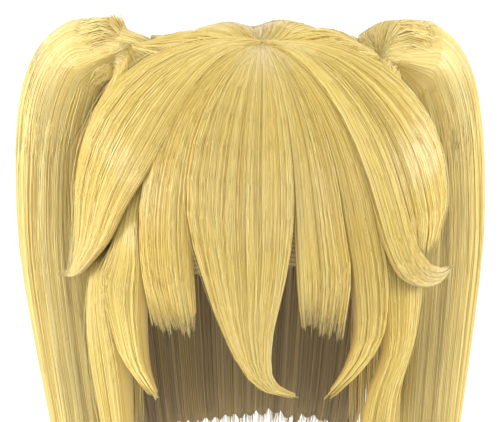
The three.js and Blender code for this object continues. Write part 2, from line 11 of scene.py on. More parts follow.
import bpy
import numpy as np
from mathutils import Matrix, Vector


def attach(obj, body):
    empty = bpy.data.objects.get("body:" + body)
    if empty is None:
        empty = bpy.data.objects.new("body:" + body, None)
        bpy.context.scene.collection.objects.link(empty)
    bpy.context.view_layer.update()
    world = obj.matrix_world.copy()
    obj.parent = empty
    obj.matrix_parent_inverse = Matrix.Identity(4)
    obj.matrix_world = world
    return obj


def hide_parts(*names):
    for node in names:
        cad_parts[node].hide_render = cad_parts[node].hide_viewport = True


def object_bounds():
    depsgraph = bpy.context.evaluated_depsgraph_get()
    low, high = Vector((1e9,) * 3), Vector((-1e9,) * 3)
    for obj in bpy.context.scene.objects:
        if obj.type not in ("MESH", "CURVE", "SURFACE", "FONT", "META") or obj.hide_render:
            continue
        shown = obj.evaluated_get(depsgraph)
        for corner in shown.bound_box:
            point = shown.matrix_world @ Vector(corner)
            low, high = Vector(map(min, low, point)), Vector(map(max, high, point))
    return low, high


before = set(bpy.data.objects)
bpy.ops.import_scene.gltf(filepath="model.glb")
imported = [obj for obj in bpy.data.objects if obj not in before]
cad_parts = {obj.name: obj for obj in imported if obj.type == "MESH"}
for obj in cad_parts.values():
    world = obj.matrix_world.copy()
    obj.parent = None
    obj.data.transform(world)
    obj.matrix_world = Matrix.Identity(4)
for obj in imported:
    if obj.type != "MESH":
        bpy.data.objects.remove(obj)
cad_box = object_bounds()
low_corner, high_corner = (np.array(corner) for corner in cad_box)
print("CAD box", low_corner.round(3), high_corner.round(3))

# %% [markdown]
# ## Camera
#
# The picture was taken from a little above and a little to the left of the middle, from far away, so the
# nearer parts are hardly larger than the rest. The lens is worked out from how many millimetres one pixel
# covers at the wig, and the camera is turned towards a point inside it.

# %%
IMAGE_WIDTH = 500
AZIMUTH, ELEVATION = math.radians(-8), math.radians(20)
DISTANCE = 1.6
METRES_PER_PIXEL = 0.00056
LOOK_AT = Vector((-0.0064, 0.0013, -0.0888))

towards_camera = Vector((
    math.cos(ELEVATION) * math.sin(AZIMUTH),
    -math.cos(ELEVATION) * math.cos(AZIMUTH),
    math.sin(ELEVATION),
))
camera_data = bpy.data.cameras.new("camera")
camera_data.sensor_width = 36
camera_data.lens = camera_data.sensor_width * DISTANCE / (METRES_PER_PIXEL * IMAGE_WIDTH)
camera = bpy.data.objects.new("camera", camera_data)
camera.location = LOOK_AT + DISTANCE * towards_camera
camera.rotation_euler = (-towards_camera).to_track_quat("-Z", "Y").to_euler()
bpy.context.collection.objects.link(camera)
bpy.context.scene.camera = camera
print(f"lens {camera_data.lens:.1f} mm")

# %% [markdown]
# ## Studio
#
# The picture is a catalogue one: white all round, with soft light. So a wide white floor lies just under the
# tails and the surroundings are white too. Most light comes from everywhere; panels at the left and right
# give the sides of the crown their pale shine, one in front lights its middle, and one behind the back.

# %%
FLOOR_DROP = 0.012
floor_z = float(low_corner[2]) - FLOOR_DROP
FLOOR_HALF = 6.0

floor_mesh = bpy.data.meshes.new("floor")
corners = [(x * FLOOR_HALF, y * FLOOR_HALF, floor_z) for x, y in ((-1, -1), (1, -1), (1, 1), (-1, 1))]
floor_mesh.from_pydata(corners, [], [(0, 1, 2, 3)])
floor = bpy.data.objects.new("floor", floor_mesh)
bpy.context.collection.objects.link(floor)

paper = bpy.data.materials.new("white paper")
paper.use_nodes = True
paper_shader = paper.node_tree.nodes["Principled BSDF"]
paper_shader.inputs["Base Color"].default_value = (0.97, 0.97, 0.97, 1)
paper_shader.inputs["Roughness"].default_value = 0.9
paper_shader.inputs["Specular IOR Level"].default_value = 0.1
floor_mesh.materials.append(paper)


def soft_panel(name, place, size, watts):
    """A square area light at place, facing the middle of the wig."""
    data = bpy.data.lights.new(name, "AREA")
    data.shape = "SQUARE"
    data.size = size
    data.energy = watts
    lamp = bpy.data.objects.new(name, data)
    lamp.location = place
    lamp.rotation_euler = (Vector(place) - LOOK_AT).to_track_quat("Z", "Y").to_euler()
    bpy.context.collection.objects.link(lamp)


soft_panel("panel in front", (-0.15, -1.5, 1.0), 1.3, 15)
soft_panel("panel at the left", (-1.5, -0.4, 0.4), 0.6, 16)
soft_panel("panel at the right", (1.5, -0.3, 0.4), 0.6, 16)
soft_panel("panel behind", (0.0, 1.9, 1.2), 2.0, 18)

world = bpy.data.worlds.new("studio")
bpy.context.scene.world = world
world.use_nodes = True
world.node_tree.nodes["Background"].inputs["Color"].default_value = (1, 1, 1, 1)
world.node_tree.nodes["Background"].inputs["Strength"].default_value = 0.75
bpy.context.scene.view_settings.view_transform = "Standard"
print("floor at", round(floor_z, 3))

# %% [markdown]
# ## One formula for the head
#
# Every layer of the wig is a smooth dome over the same head, only nearer or further out. So a point of hair
# is told by its azimuth (degrees from the front, positive to the right), by how far along it has travelled
# (0 at the whorl, 1 at the head's widest level, 2 at the foot of the back hair) and by its depth in the coat
# (0 at the cap, 1 at the full coat). Locks, gathers, cap and strands all call this one function.

# %%
HEAD_WIDTH, HEAD_LENGTH, CROWN_HEIGHT = 0.156, 0.192, 0.104
CAP_WALL = 0.0025
DEPTH_SIDE, DEPTH_FRONT, DEPTH_TOP = 0.0235, 0.0195, 0.0115
FULLNESS = 0.5
FALL_LENGTH = 0.165
CLEARANCE = 0.0006
EDGE_SHARE = 0.55
BASE_DEPTH, GATHER_DEPTH = 0.3, 0.58


def mix(a, b, share):
    """The value that lies a share of the way from a to b."""
    return a + (b - a) * share


def ease(share):
    """0 below 0, 1 above 1, and a smooth S between them: 3s^2 - 2s^3."""
    s = np.clip(share, 0, 1)
    return s * s * (3 - 2 * s)


def unit(vectors):
    """Vectors divided by their own length."""
    return vectors / np.maximum(np.linalg.norm(vectors, axis=-1, keepdims=True), 1e-12)


def on_head(azimuth, way, depth, rise=0.0):
    """A superellipse turned about Z down to the widest level, then straight down: with the dip d from the
    top, |sin d|^p + (cos d)^p scales the radius, and p grows from 2 at the cap towards the sides."""
    azimuth, way, depth, rise = np.broadcast_arrays(azimuth, way, depth, rise)
    turn = np.radians(azimuth)
    dip = np.minimum(way, 1) * np.pi / 2
    power = 2 + FULLNESS * np.maximum(depth, 0) * np.sin(turn) ** 2
    swell = (np.abs(np.sin(dip)) ** power + np.abs(np.cos(dip)) ** power) ** (-1 / power)
    across = HEAD_WIDTH / 2 + CAP_WALL + DEPTH_SIDE * depth + rise
    forward = HEAD_LENGTH / 2 + CAP_WALL + DEPTH_FRONT * depth + rise
    upward = CROWN_HEIGHT + CAP_WALL + DEPTH_TOP * depth + rise
    drop = CROWN_HEIGHT + np.maximum(way - 1, 0) * FALL_LENGTH
    return np.stack((
        across * swell * np.sin(dip) * np.sin(turn),
        -forward * swell * np.sin(dip) * np.cos(turn),
        upward * swell * np.cos(dip) - drop,
    ), axis=-1)


def outward(azimuth, way, depth):
    """The direction away from the head: the step down the surface crossed with the step round it."""
    step = 0.01
    down = on_head(azimuth, way + step, depth) - on_head(azimuth, way - step, depth)
    round_ = on_head(azimuth + 90 * step, way, depth) - on_head(azimuth - 90 * step, way, depth)
    return unit(np.cross(down, round_))


print("whorl", on_head(0, 0, 1).round(4), "brow", on_head(0, 1, 1).round(4))

# %% [markdown]
# ## Reading a table as a smooth curve
#
# A lock's shape is a short table of rows from root to tip. A curve that goes through every row and turns
# smoothly at each one (Catmull and Rom's) needs only the four rows round a place, and it works on whole
# arrays at once. Rows aren't evenly far apart on the head, so shares are first made even in length, or the
# mesh would crowd where the rows do.

# %%
FINE_PER_ROW = 12


def smooth_rows(rows, share):
    """Each column at a share from 0 to 1 of the way down the table, on the cubic through its four rows."""
    rows = np.asarray(rows, float)
    at = np.clip(share, 0, 1) * (len(rows) - 1)
    below = np.minimum(at.astype(int), len(rows) - 2)
    f = (at - below)[..., None]
    p, q, r, s = (rows[np.clip(below + k, 0, len(rows) - 1)] for k in (-1, 0, 1, 2))
    return q + 0.5 * f * (r - p + f * (2 * p - 5 * q + 4 * r - s + f * (3 * (q - r) + s - p)))


def even_shares(rows, place_of):
    """A function from even shares of the path's length to shares of the table's rows."""
    fine = np.linspace(0, 1, FINE_PER_ROW * (len(rows) - 1) + 1)
    steps = np.linalg.norm(np.diff(place_of(smooth_rows(rows, fine)), axis=0), axis=1)
    travelled = np.concatenate(([0], np.cumsum(steps + steps.sum() / len(steps))))
    return lambda share: np.interp(share, travelled / travelled[-1], fine)

# %% [markdown]
# ## Meshes from grids
#
# A surface is a grid of points: stations along the hair, columns across it. A lock is two such grids, its
# outside and its underside, sewn together along the rim, so it is closed and has a real thickness. The
# UV map carries the hair's own directions, across and along in decimetres, because streaks and shine must
# follow the hair wherever the lock turns. A second value on each point, its tone, makes one strand or
# clump a little lighter or darker than its neighbour.

# %%
DECIMETRE = 0.1


def grid_faces(stations, columns, wrap=False, start=0):
    """Four corners of every cell of a grid, as point numbers and as (station, column) pairs."""
    i, j = np.meshgrid(np.arange(stations - 1), np.arange(columns - (0 if wrap else 1)), indexing="ij")
    cells = np.stack((
        np.stack((i, j), -1), np.stack((i, j + 1), -1),
        np.stack((i + 1, j + 1), -1), np.stack((i + 1, j), -1),
    ), axis=2).reshape(-1, 4, 2)
    return start + cells[..., 0] * columns + cells[..., 1] % columns, cells


def make_piece(name, points, faces, uv, tone, material):
    """A mesh object at the origin. faces is a list of equal-sided blocks, uv has one row per face corner.
    The sign of the sum of a . (b x c) over the faces says whether they point inwards; then all turn."""
    volume = sum(
        np.einsum("ij,ij->", points[block[:, 0]], np.cross(points[block[:, k]], points[block[:, k + 1]]))
        for block in faces for k in range(1, block.shape[1] - 1)
    )
    if volume < 0:
        faces = [block[:, ::-1] for block in faces]
        uv = [corners[:, ::-1] for corners in uv]
    mesh = bpy.data.meshes.new(name)
    mesh.from_pydata(points.tolist(), [], [face for block in faces for face in block.tolist()])
    layer = mesh.uv_layers.new(name="hair")
    layer.data.foreach_set("uv", np.concatenate([corners.reshape(-1, 2) for corners in uv]).ravel())
    values = mesh.attributes.new("tone", "FLOAT", "POINT")
    values.data.foreach_set("value", np.broadcast_to(tone, len(points)).astype(np.float32))
    mesh.shade_smooth()
    mesh.materials.append(material)
    piece = bpy.data.objects.new(name, mesh)
    bpy.context.collection.objects.link(piece)
    triangles = sum(len(block) * (block.shape[1] - 2) for block in faces)
    print(f"{name}: {triangles} triangles, {abs(volume) / 6 * 1e6:.1f} cm3")
    return piece


def sewn_sheet(name, top, under, uv, tone, material, wrap=False, lining=None):
    """Two grids of the same size, joined round their rim. With wrap the columns close into a ring. The
    lining is the material of the underside where it isn't the same."""
    stations, columns = top.shape[:2]
    points = np.concatenate((top.reshape(-1, 3), under.reshape(-1, 3)))
    count = stations * columns
    outer, cells = grid_faces(stations, columns, wrap)
    blocks, corners = [outer, outer[:, ::-1] + count], [cells, cells[:, ::-1]]
    ends = np.arange(columns if wrap else columns - 1)
    for row in (0, stations - 1):
        a, b = row * columns + ends, row * columns + (ends + 1) % columns
        rim = np.stack((a, b, b + count, a + count), axis=1)
        blocks.append(rim[:, ::-1] if row == 0 else rim)
        pairs = np.stack((np.full_like(ends, row), ends), -1)
        nexts = np.stack((np.full_like(ends, row), ends + 1), -1)
        ring = np.stack((pairs, nexts, nexts, pairs), axis=1)
        corners.append(ring[:, ::-1] if row == 0 else ring)
    if not wrap:
        steps = np.arange(stations - 1)
        for column in (0, columns - 1):
            a, b = steps * columns + column, (steps + 1) * columns + column
            rim = np.stack((a, b, b + count, a + count), axis=1)
            blocks.append(rim if column == 0 else rim[:, ::-1])
            pairs = np.stack((steps, np.full_like(steps, column)), -1)
            nexts = np.stack((steps + 1, np.full_like(steps, column)), -1)
            side = np.stack((pairs, nexts, nexts, pairs), axis=1)
            corners.append(side if column == 0 else side[:, ::-1])
    tones = np.concatenate((tone.ravel(), tone.ravel()))
    padded = np.concatenate((uv, 2 * uv[:, -1:] - uv[:, -2:-1]), axis=1)
    piece = make_piece(name, points, blocks, [padded[c[..., 0], c[..., 1]] for c in corners], tones, material)
    if lining:
        piece.data.materials.append(lining)
        numbers = np.zeros(len(piece.data.polygons), np.int32)
        numbers[len(outer):2 * len(outer)] = 1
        piece.data.polygons.foreach_set("material_index", numbers)
    return piece

# %% [markdown]
# ## Strands
#
# A strand is a three-sided tube that thins to its tip. Three sides are enough for something half a
# millimetre thick, and one edge always faces away from the head, where it catches light as a round fibre
# does. A few hundred paths are one array, and become one mesh.

# %%
HEAD_MIDDLE = np.array((0.0, 0.0, -0.1))
CORNERS = np.radians((90, 210, 330))


def strand_tones(random, count, middle=0.5):
    """A tone per strand: most near the middle, and one in twelve much darker, a painted shade for the gaps
    between strands.
    """
    tones = middle + 0.14 * random.normal(0, 1, count)
    dark = random.uniform(0, 1, count) < 0.08
    return np.clip(np.where(dark, 0.08, tones), 0, 1)


def strand_piece(name, paths, radius, across, tone, material, middle=HEAD_MIDDLE):
    """Tubes along paths (strands, stations, 3). radius is per strand; each tube has 45% of it at the root
    and 30% at the tip. middle is the point, or path, that the tubes' outer edge faces away from."""
    strands, stations = paths.shape[:2]
    ahead = unit(np.gradient(paths, axis=1))
    away = unit(paths - middle)
    side = unit(np.cross(ahead, away))
    lift = np.cross(side, ahead)
    share = np.linspace(0, 1, stations)
    body = np.minimum(mix(0.45, 1, ease(share / 0.1)), mix(0.3, 1, ease((1 - share) / 0.12)))
    girth = np.asarray(radius)[:, None] * body
    around = side[:, :, None] * np.cos(CORNERS)[:, None] + lift[:, :, None] * np.sin(CORNERS)[:, None]
    points = (paths[:, :, None] + girth[:, :, None, None] * around).reshape(-1, 3)
    tube, cells = grid_faces(stations, 3, wrap=True)
    starts = np.arange(strands)[:, None, None] * stations * 3
    walls = (tube + starts).reshape(-1, 4)
    first = starts[:, 0] + np.array((2, 1, 0))
    last = starts[:, 0] + (stations - 1) * 3 + np.array((0, 1, 2))
    length = np.linalg.norm(np.diff(paths, axis=1), axis=2).sum(1)
    spread = np.asarray(radius)[:, None, None] * 2 / DECIMETRE * cells[None, :, :, 1] / 3
    u = np.broadcast_to(across, strands)[:, None, None] + spread
    v = length[:, None, None] / DECIMETRE * share[cells[None, :, :, 0]]
    wall_uv = np.stack((u, np.broadcast_to(v, u.shape)), -1).reshape(-1, 4, 2)
    cap_uv = np.repeat(np.stack((np.broadcast_to(across, strands), np.zeros(strands)), -1)[:, None], 3, 1)
    tones = np.repeat(np.broadcast_to(tone, strands), stations * 3)
    return make_piece(name, points, [walls, first, last], [wall_uv, cap_uv, cap_uv], tones, material)


def scattered(random, count, low=0.0, high=1.0):
    """Shares from 0 to 1, one in each of count equal steps, at a random place between low and high of it."""
    return (np.arange(count) + random.uniform(low, high, count)) / count


def hair_piece(random, name, paths, radius, across, material, middle_tone=0.5, middle=HEAD_MIDDLE):
    """A strand piece whose strands are up to a quarter off radius in thickness, each in its own tone."""
    radii = radius * random.uniform(0.75, 1.25, len(paths))
    tones = strand_tones(random, len(paths), middle_tone)
    return strand_piece(name, paths, radii, across, tones, material, middle)


def curves_through(places, stations):
    """Paths (strands, stations, 3) on smooth curves through the rows of places (place, strands, 3)."""
    flat = smooth_rows(places.reshape(len(places), -1), np.linspace(0, 1, stations))
    return flat.reshape(stations, -1, 3).transpose(1, 0, 2)

# %% [markdown]
# ## Fibre
#
# Heat-set fibre shines along a narrow band that runs across the strands, because each strand is a tiny
# polished cylinder. Two things bring that out: a Principled shader whose roughness is stretched across the
# hair, and fine ridges along it. Colour varies in streaks that follow the strands, from pale cream to
# ochre. One group works the streaks out from the hair's own directions, and
# each material gives it other amounts.

# %%
def new_group(name, inputs, outputs):
    """A shader group with named float or vector sockets, and its input and output nodes."""
    group = bpy.data.node_groups.new(name, "ShaderNodeTree")
    for label, kind, value in inputs:
        socket = group.interface.new_socket(name=label, in_out="INPUT", socket_type=kind)
        if kind == "NodeSocketFloat":
            socket.default_value = value
    for label in outputs:
        group.interface.new_socket(name=label, in_out="OUTPUT", socket_type="NodeSocketFloat")
    return group, group.nodes.new("NodeGroupInput"), group.nodes.new("NodeGroupOutput")


def feed(tree, node, values):
    """Gives each value to the node's next input: a socket is linked, a number is set."""
    for socket, value in zip(node.inputs, values):
        if hasattr(value, "is_linked"):
            tree.links.new(value, socket)
        else:
            socket.default_value = value


def math_node(tree, operation, first, second, clamp=False):
    """One Math node. Each operand is a socket or a number."""
    node = tree.nodes.new("ShaderNodeMath")
    node.operation = operation
    node.use_clamp = clamp
    feed(tree, node, (first, second))
    return node.outputs[0]


def stretched_noise(tree, vector, across, along, detail):
    """Noise on the hair's own directions: a number of streaks across a decimetre, and along it."""
    scale = tree.nodes.new("ShaderNodeCombineXYZ")
    feed(tree, scale, (across, along))
    times = tree.nodes.new("ShaderNodeVectorMath")
    times.operation = "MULTIPLY"
    tree.links.new(vector, times.inputs[0])
    tree.links.new(scale.outputs[0], times.inputs[1])
    noise = tree.nodes.new("ShaderNodeTexNoise")
    noise.noise_dimensions = "2D"
    noise.inputs["Scale"].default_value = 1
    noise.inputs["Detail"].default_value = detail
    tree.links.new(times.outputs[0], noise.inputs["Vector"])
    return noise.outputs["Fac"]


streaks, into, out = new_group(
    "fibre streaks",
    (
        ("Hair", "NodeSocketVector", None), ("Tone", "NodeSocketFloat", 0.5),
        ("Streaks", "NodeSocketFloat", 40.0), ("Contrast", "NodeSocketFloat", 1.0),
        ("Tone Share", "NodeSocketFloat", 0.5),
    ),
    ("Shade", "Height", "Warm"),
)
broad = stretched_noise(streaks, into.outputs["Hair"], into.outputs["Streaks"], 0.25, 1.0)
fine_across = math_node(streaks, "MULTIPLY", into.outputs["Streaks"], 6.0)
fine = stretched_noise(streaks, into.outputs["Hair"], fine_across, 0.3, 0.0)
broad_part = math_node(streaks, "MULTIPLY", broad, 0.55)
fine_part = math_node(streaks, "MULTIPLY", fine, 0.45)
both = math_node(streaks, "ADD", broad_part, fine_part)
spread = math_node(streaks, "MULTIPLY", math_node(streaks, "SUBTRACT", both, 0.5), into.outputs["Contrast"])
off_middle = math_node(streaks, "SUBTRACT", into.outputs["Tone"], 0.5)
toned = math_node(streaks, "MULTIPLY", off_middle, into.outputs["Tone Share"])
shade = math_node(streaks, "ADD", math_node(streaks, "ADD", spread, toned), 0.5, clamp=True)
streaks.links.new(shade, out.inputs["Shade"])
streaks.links.new(fine, out.inputs["Height"])
seldom_across = math_node(streaks, "MULTIPLY", into.outputs["Streaks"], 0.7)
seldom = stretched_noise(streaks, into.outputs["Hair"], seldom_across, 0.16, 1.0)
above = math_node(streaks, "SUBTRACT", seldom, 0.58)
streaks.links.new(math_node(streaks, "MULTIPLY", above, 6.0, clamp=True), out.inputs["Warm"])

AMBER, AMBER_SHARE = (0.80, 0.50, 0.06), 0.35
STREAK_COUNT, STREAK_CONTRAST = 80.0, 1.2
RIDGE_HEIGHT = 0.0004


def hair_material(name, shared, map_label, amounts, bump, roughness):
    """A material that reads the hair map through a shared group, whose Height makes its ridges. Returns the
    material, its node tree, its Principled shader and the group's node."""
    material = bpy.data.materials.new(name)
    material.use_nodes = True
    tree = material.node_tree
    shader = tree.nodes["Principled BSDF"]
    hair = tree.nodes.new("ShaderNodeUVMap")
    hair.uv_map = "hair"
    group = tree.nodes.new("ShaderNodeGroup")
    group.node_tree = shared
    for label, amount in amounts.items():
        group.inputs[label].default_value = amount
    tree.links.new(hair.outputs["UV"], group.inputs[map_label])
    ridge = tree.nodes.new("ShaderNodeBump")
    ridge.inputs["Strength"].default_value = bump
    ridge.inputs["Distance"].default_value = RIDGE_HEIGHT
    tree.links.new(group.outputs["Height"], ridge.inputs["Height"])
    tree.links.new(ridge.outputs["Normal"], shader.inputs["Normal"])
    shader.inputs["Roughness"].default_value = roughness
    return material, tree, shader, group


def colour_ramp(tree, stops, factor):
    """The colour at a factor socket on a ramp through stops of (place, red, green, blue)."""
    ramp = tree.nodes.new("ShaderNodeValToRGB")
    elements = ramp.color_ramp.elements
    for element, (place, *rgb) in zip((elements[0], elements[1]), (stops[0], stops[-1])):
        element.position = place
        element.color = (*rgb, 1)
    for place, *rgb in stops[1:-1]:
        elements.new(place).color = (*rgb, 1)
    tree.links.new(factor, ramp.inputs["Fac"])
    return ramp.outputs["Color"]


def fibre(name, colours, tone_share=0.5, roughness=0.28, brushed=0.6, bump=0.25, sheen=0.16):
    """A fibre material: colours are (place on the ramp, red, green, blue) from the darkest streak on."""
    amounts = {"Streaks": STREAK_COUNT, "Contrast": STREAK_CONTRAST, "Tone Share": tone_share}
    material, tree, shader, group = hair_material(name, streaks, "Hair", amounts, bump, roughness)
    tone = tree.nodes.new("ShaderNodeAttribute")
    tone.attribute_name = "tone"
    tree.links.new(tone.outputs["Fac"], group.inputs["Tone"])
    warm = tree.nodes.new("ShaderNodeMix")
    warm.data_type = "RGBA"
    tree.links.new(math_node(tree, "MULTIPLY", group.outputs["Warm"], AMBER_SHARE), warm.inputs["Factor"])
    tree.links.new(colour_ramp(tree, colours, group.outputs["Shade"]), warm.inputs[6])
    warm.inputs[7].default_value = (*AMBER, 1)
    tree.links.new(warm.outputs[2], shader.inputs["Base Color"])
    shader.inputs["Specular IOR Level"].default_value = 0.65
    shader.inputs["Sheen Weight"].default_value = sheen
    shader.inputs["Sheen Roughness"].default_value = 0.35
    shader.inputs["Sheen Tint"].default_value = (1.0, 0.98, 0.9, 1)
    if brushed:
        tangent = tree.nodes.new("ShaderNodeTangent")
        tangent.direction_type = "UV_MAP"
        tangent.uv_map = "hair"
        tree.links.new(tangent.outputs["Tangent"], shader.inputs["Tangent"])
        shader.inputs["Anisotropic"].default_value = brushed
    return material


OCHRE, GOLD = (0.44, 0.29, 0.055), (0.66, 0.48, 0.11)
STRAW, CREAM = (0.76, 0.60, 0.18), (0.89, 0.79, 0.37)
GOLDEN = ((0.05, *OCHRE), (0.38, *GOLD), (0.62, *STRAW), (0.95, *CREAM))
# The next ramp, the gold a step darker, is painted shade for sheets that show only in the gaps between their
# strands.
SHADED = ((0.05, 0.30, 0.19, 0.04), (0.5, *OCHRE), (0.95, *GOLD))
# The next ramp is a dark brown painted shade, for the base coat seen in the gaps between locks and for the
# inside of the back hair.
PAINTED_SHADE = ((0.1, 0.16, 0.105, 0.04), (0.6, 0.26, 0.18, 0.065), (0.95, 0.38, 0.27, 0.09))
shaded_gold_fibre = fibre("gold fibre", SHADED, roughness=0.5)
gold_strand = fibre("gold strand", GOLDEN, tone_share=1.0, brushed=0, bump=0.05)
painted_shade_fibre = fibre("shaded fibre", PAINTED_SHADE, roughness=0.5, sheen=0.1)

# %% [markdown]
# ## Knitted cap and elastics
#
# The cap is a stretch net with rows of fibre sewn round it, and the elastics are cords with a yarn cover.
# Both are knitted, so one group draws loops in rows from a surface's own map: the product of two sine waves,
# with every second row shifted by half a loop.

# %%
knit, into, out = new_group(
    "knit loops",
    (
        ("Place", "NodeSocketVector", None), ("Rows", "NodeSocketFloat", 60.0),
        ("Loops", "NodeSocketFloat", 60.0),
    ),
    ("Yarn", "Height"),
)
split = knit.nodes.new("ShaderNodeSeparateXYZ")
knit.links.new(into.outputs["Place"], split.inputs[0])
row_place = math_node(knit, "MULTIPLY", split.outputs["Y"], into.outputs["Rows"])
half_loop = math_node(knit, "MULTIPLY", math_node(knit, "FLOOR", row_place, 0), 0.5)
loop_count = math_node(knit, "MULTIPLY", split.outputs["X"], into.outputs["Loops"])
loop_place = math_node(knit, "ADD", loop_count, half_loop)


def wave(place):
    """The size of sin(pi x place): 0 at each whole number and 1 halfway between."""
    sine = math_node(knit, "SINE", math_node(knit, "MULTIPLY", place, math.pi), 0)
    return math_node(knit, "ABSOLUTE", sine, 0)


loop_height = math_node(knit, "ADD", math_node(knit, "MULTIPLY", wave(loop_place), 0.6), 0.4)
height = math_node(knit, "MULTIPLY", wave(row_place), loop_height)
knit.links.new(height, out.inputs["Height"])
knit.links.new(math_node(knit, "POWER", height, 0.6), out.inputs["Yarn"])
KNIT_BUMP = 0.6


def knitted(name, gap_shade, yarn, rows, loops, roughness):
    """A knitted material: the colour runs from a painted shade in the hollows between the loops to yarn on
    them.
    """
    amounts = {"Rows": rows, "Loops": loops}
    material, tree, shader, group = hair_material(name, knit, "Place", amounts, KNIT_BUMP, roughness)
    colour = colour_ramp(tree, ((0, *gap_shade), (1, *yarn)), group.outputs["Yarn"])
    tree.links.new(colour, shader.inputs["Base Color"])
    return material


cap_net = knitted("cap net", (0.14, 0.095, 0.04), (0.42, 0.31, 0.13), 34, 70, 0.75)
elastic_yarn = knitted("elastic yarn", (0.10, 0.065, 0.03), (0.34, 0.24, 0.10), 150, 60, 0.6)
print("materials", [m.name for m in bpy.data.materials])

# %% [markdown]
# ## Locks
#
# The tables are the pattern of the wig: where each lock's two edges run, how far out its underside and
# crest lie. A lock is drawn as clumps, because fibre that has been combed and cut still clings together in
# bundles: each bundle is crowned, and it ends in a point of its own, so a blunt cut looks jagged.

# %%
# Columns: along, left, right, tilt, low, lean, high. left and right are azimuths, tilt is how much further
# along the right edge is, lean is what the right edge adds to low.
LOCKS = {
    "fringe_left": (
        (.05, -62, -39, 0, .3, 0, .66), (.16, -61, -39, 0, .3, 0, .74), (.45, -59, -39, 0, .3, 0, .8),
        (.75, -56, -36, 0, .3, 0, .8), (.96, -52.5, -33, 0, .34, 0, .78),
        (1.165, -50, -32.5, -.03, .4, 0, .64),
    ),
    "fringe_center": (
        (.05, -39, 4, 0, .3, 0, .67), (.16, -39, 4, 0, .3, 0, .78), (.45, -39, 3.2, 0, .3, 0, .9),
        (.72, -35.5, 1.5, 0, .3, 0, .95), (.9, -29.5, -1.5, 0, .34, 0, .97), (1.07, -23, -5.5, 0, .4, 0, .97),
        (1.2, -16.5, -6.5, 0, .5, 0, .95), (1.275, -10, -4, -.01, .55, 0, .88),
        (1.31, .5, 3, -.01, .6, 0, .72),
    ),
    "fringe_right": (
        (.05, 4, 23, 0, .3, 0, .66), (.16, 4, 22, 0, .3, 0, .74), (.45, 3.2, 20.5, 0, .3, 0, .8),
        (.75, 2.2, 20, 0, .3, 0, .8), (.93, 2.4, 21, 0, .34, 0, .78), (1.1, 4, 19, .05, .4, 0, .64),
    ),
    "face_lock_right": (
        (.05, 23, 36, 0, .3, 0, .66), (.16, 22, 35, 0, .3, 0, .74), (.45, 20.5, 33.5, 0, .3, 0, .8),
        (.76, 20, 33.8, 0, .3, 0, .8), (.97, 22, 35.5, 0, .36, 0, .8), (1.12, 22.5, 34.5, 0, .42, 0, .82),
        (1.23, 18.5, 27.5, 0, .48, 0, .8), (1.33, 10.5, 14, 0, .55, 0, .7),
    ),
    "face_lock_left": (
        (.6, -67, -60, 0, .29, 0, .46), (.8, -66, -58, 0, .29, 0, .6), (.93, -70, -53.5, 0, .32, 0, .74),
        (1.04, -75, -53, 0, .34, 0, .84), (1.16, -68.5, -52.5, 0, .38, 0, .86),
        (1.28, -61, -50, 0, .46, 0, .84),
        (1.38, -50, -45, 0, .52, 0, .76),
    ),
    "swept_lock_left": (
        (.07, -94, -62, 0, .66, 0, .86), (.2, -94, -56, 0, .8, .02, 1.04), (.4, -92, -51, 0, .78, .04, 1.2),
        (.6, -89, -51.5, 0, .74, .1, 1.26), (.78, -87, -57, -.02, .74, .12, 1.22),
        (.92, -87, -64, -.03, .8, .04, 1.12), (1.03, -89, -75, -.03, .9, 0, 1.14),
        (1.09, -91, -84, -.01, 1.06, 0, 1.27), (1.118, -96, -93, 0, 1.44, 0, 1.54),
    ),
    "swept_lock_right": (
        (.07, 36, 50, 0, .64, 0, .84), (.2, 33, 46, 0, .76, 0, 1), (.45, 30.5, 42.2, 0, .76, 0, 1.12),
        (.73, 30.5, 41.2, 0, .76, 0, 1.16), (.86, 32, 43.5, .01, .82, 0, 1.18),
        (.95, 36, 48, -.02, .92, 0, 1.18), (1.01, 45, 51, -.05, .94, 0, 1.18),
        (1.04, 54, 56, -.055, .97, 0, 1.18), (1.05, 62, 61.5, -.04, 1.02, 0, 1.2),
        (1.04, 69, 68, -.012, 1.12, 0, 1.24),
    ),
    "cheek_lock_right": (
        (.07, 53, 88, 0, .6, 0, .74), (.22, 47, 88, 0, .64, .08, .96), (.42, 42.6, 87, 0, .56, .2, 1.06),
        (.66, 41.6, 88, 0, .5, .26, 1.1), (.86, 43.8, 84, 0, .52, .14, 1.04), (.98, 50, 80, .03, .6, 0, .88),
    ),
    "side_lock_left": (
        (.995, -92, -77, -.035, .29, 0, .6), (1.12, -90, -73.5, 0, .31, 0, .82),
        (1.3, -87, -64, 0, .34, 0, .94),
        (1.5, -80, -62, 0, .34, 0, .86), (1.72, -74, -61, 0, .36, 0, .7), (1.9, -70, -65, 0, .4, 0, .55),
    ),
    "side_lock_right": (
        (.8, 38, 58, .02, .3, 0, .5), (.98, 37, 64, .02, .3, 0, .58), (1.2, 36, 52, 0, .4, 0, .8),
        (1.36, 29, 43, 0, .4, 0, .8), (1.58, 26, 40, 0, .38, 0, .76), (1.82, 27, 32, 0, .42, 0, .58),
    ),
    "back_hair": (
        (.05, 102, 258, 0, .3, 0, .54), (.17, 117, 243, 0, .3, 0, 1.3), (.4, 124, 236, 0, .3, 0, 1.16),
        (.8, 123, 237, 0, .3, 0, 1.02), (1.15, 120, 240, 0, .32, 0, .96), (1.42, 123, 237, 0, .32, 0, .9),
        (1.64, 125, 235, 0, .2, 0, .78), (1.86, 127, 233, 0, .08, 0, .56), (2, 131, 229, 0, .06, 0, .3),
    ),
}

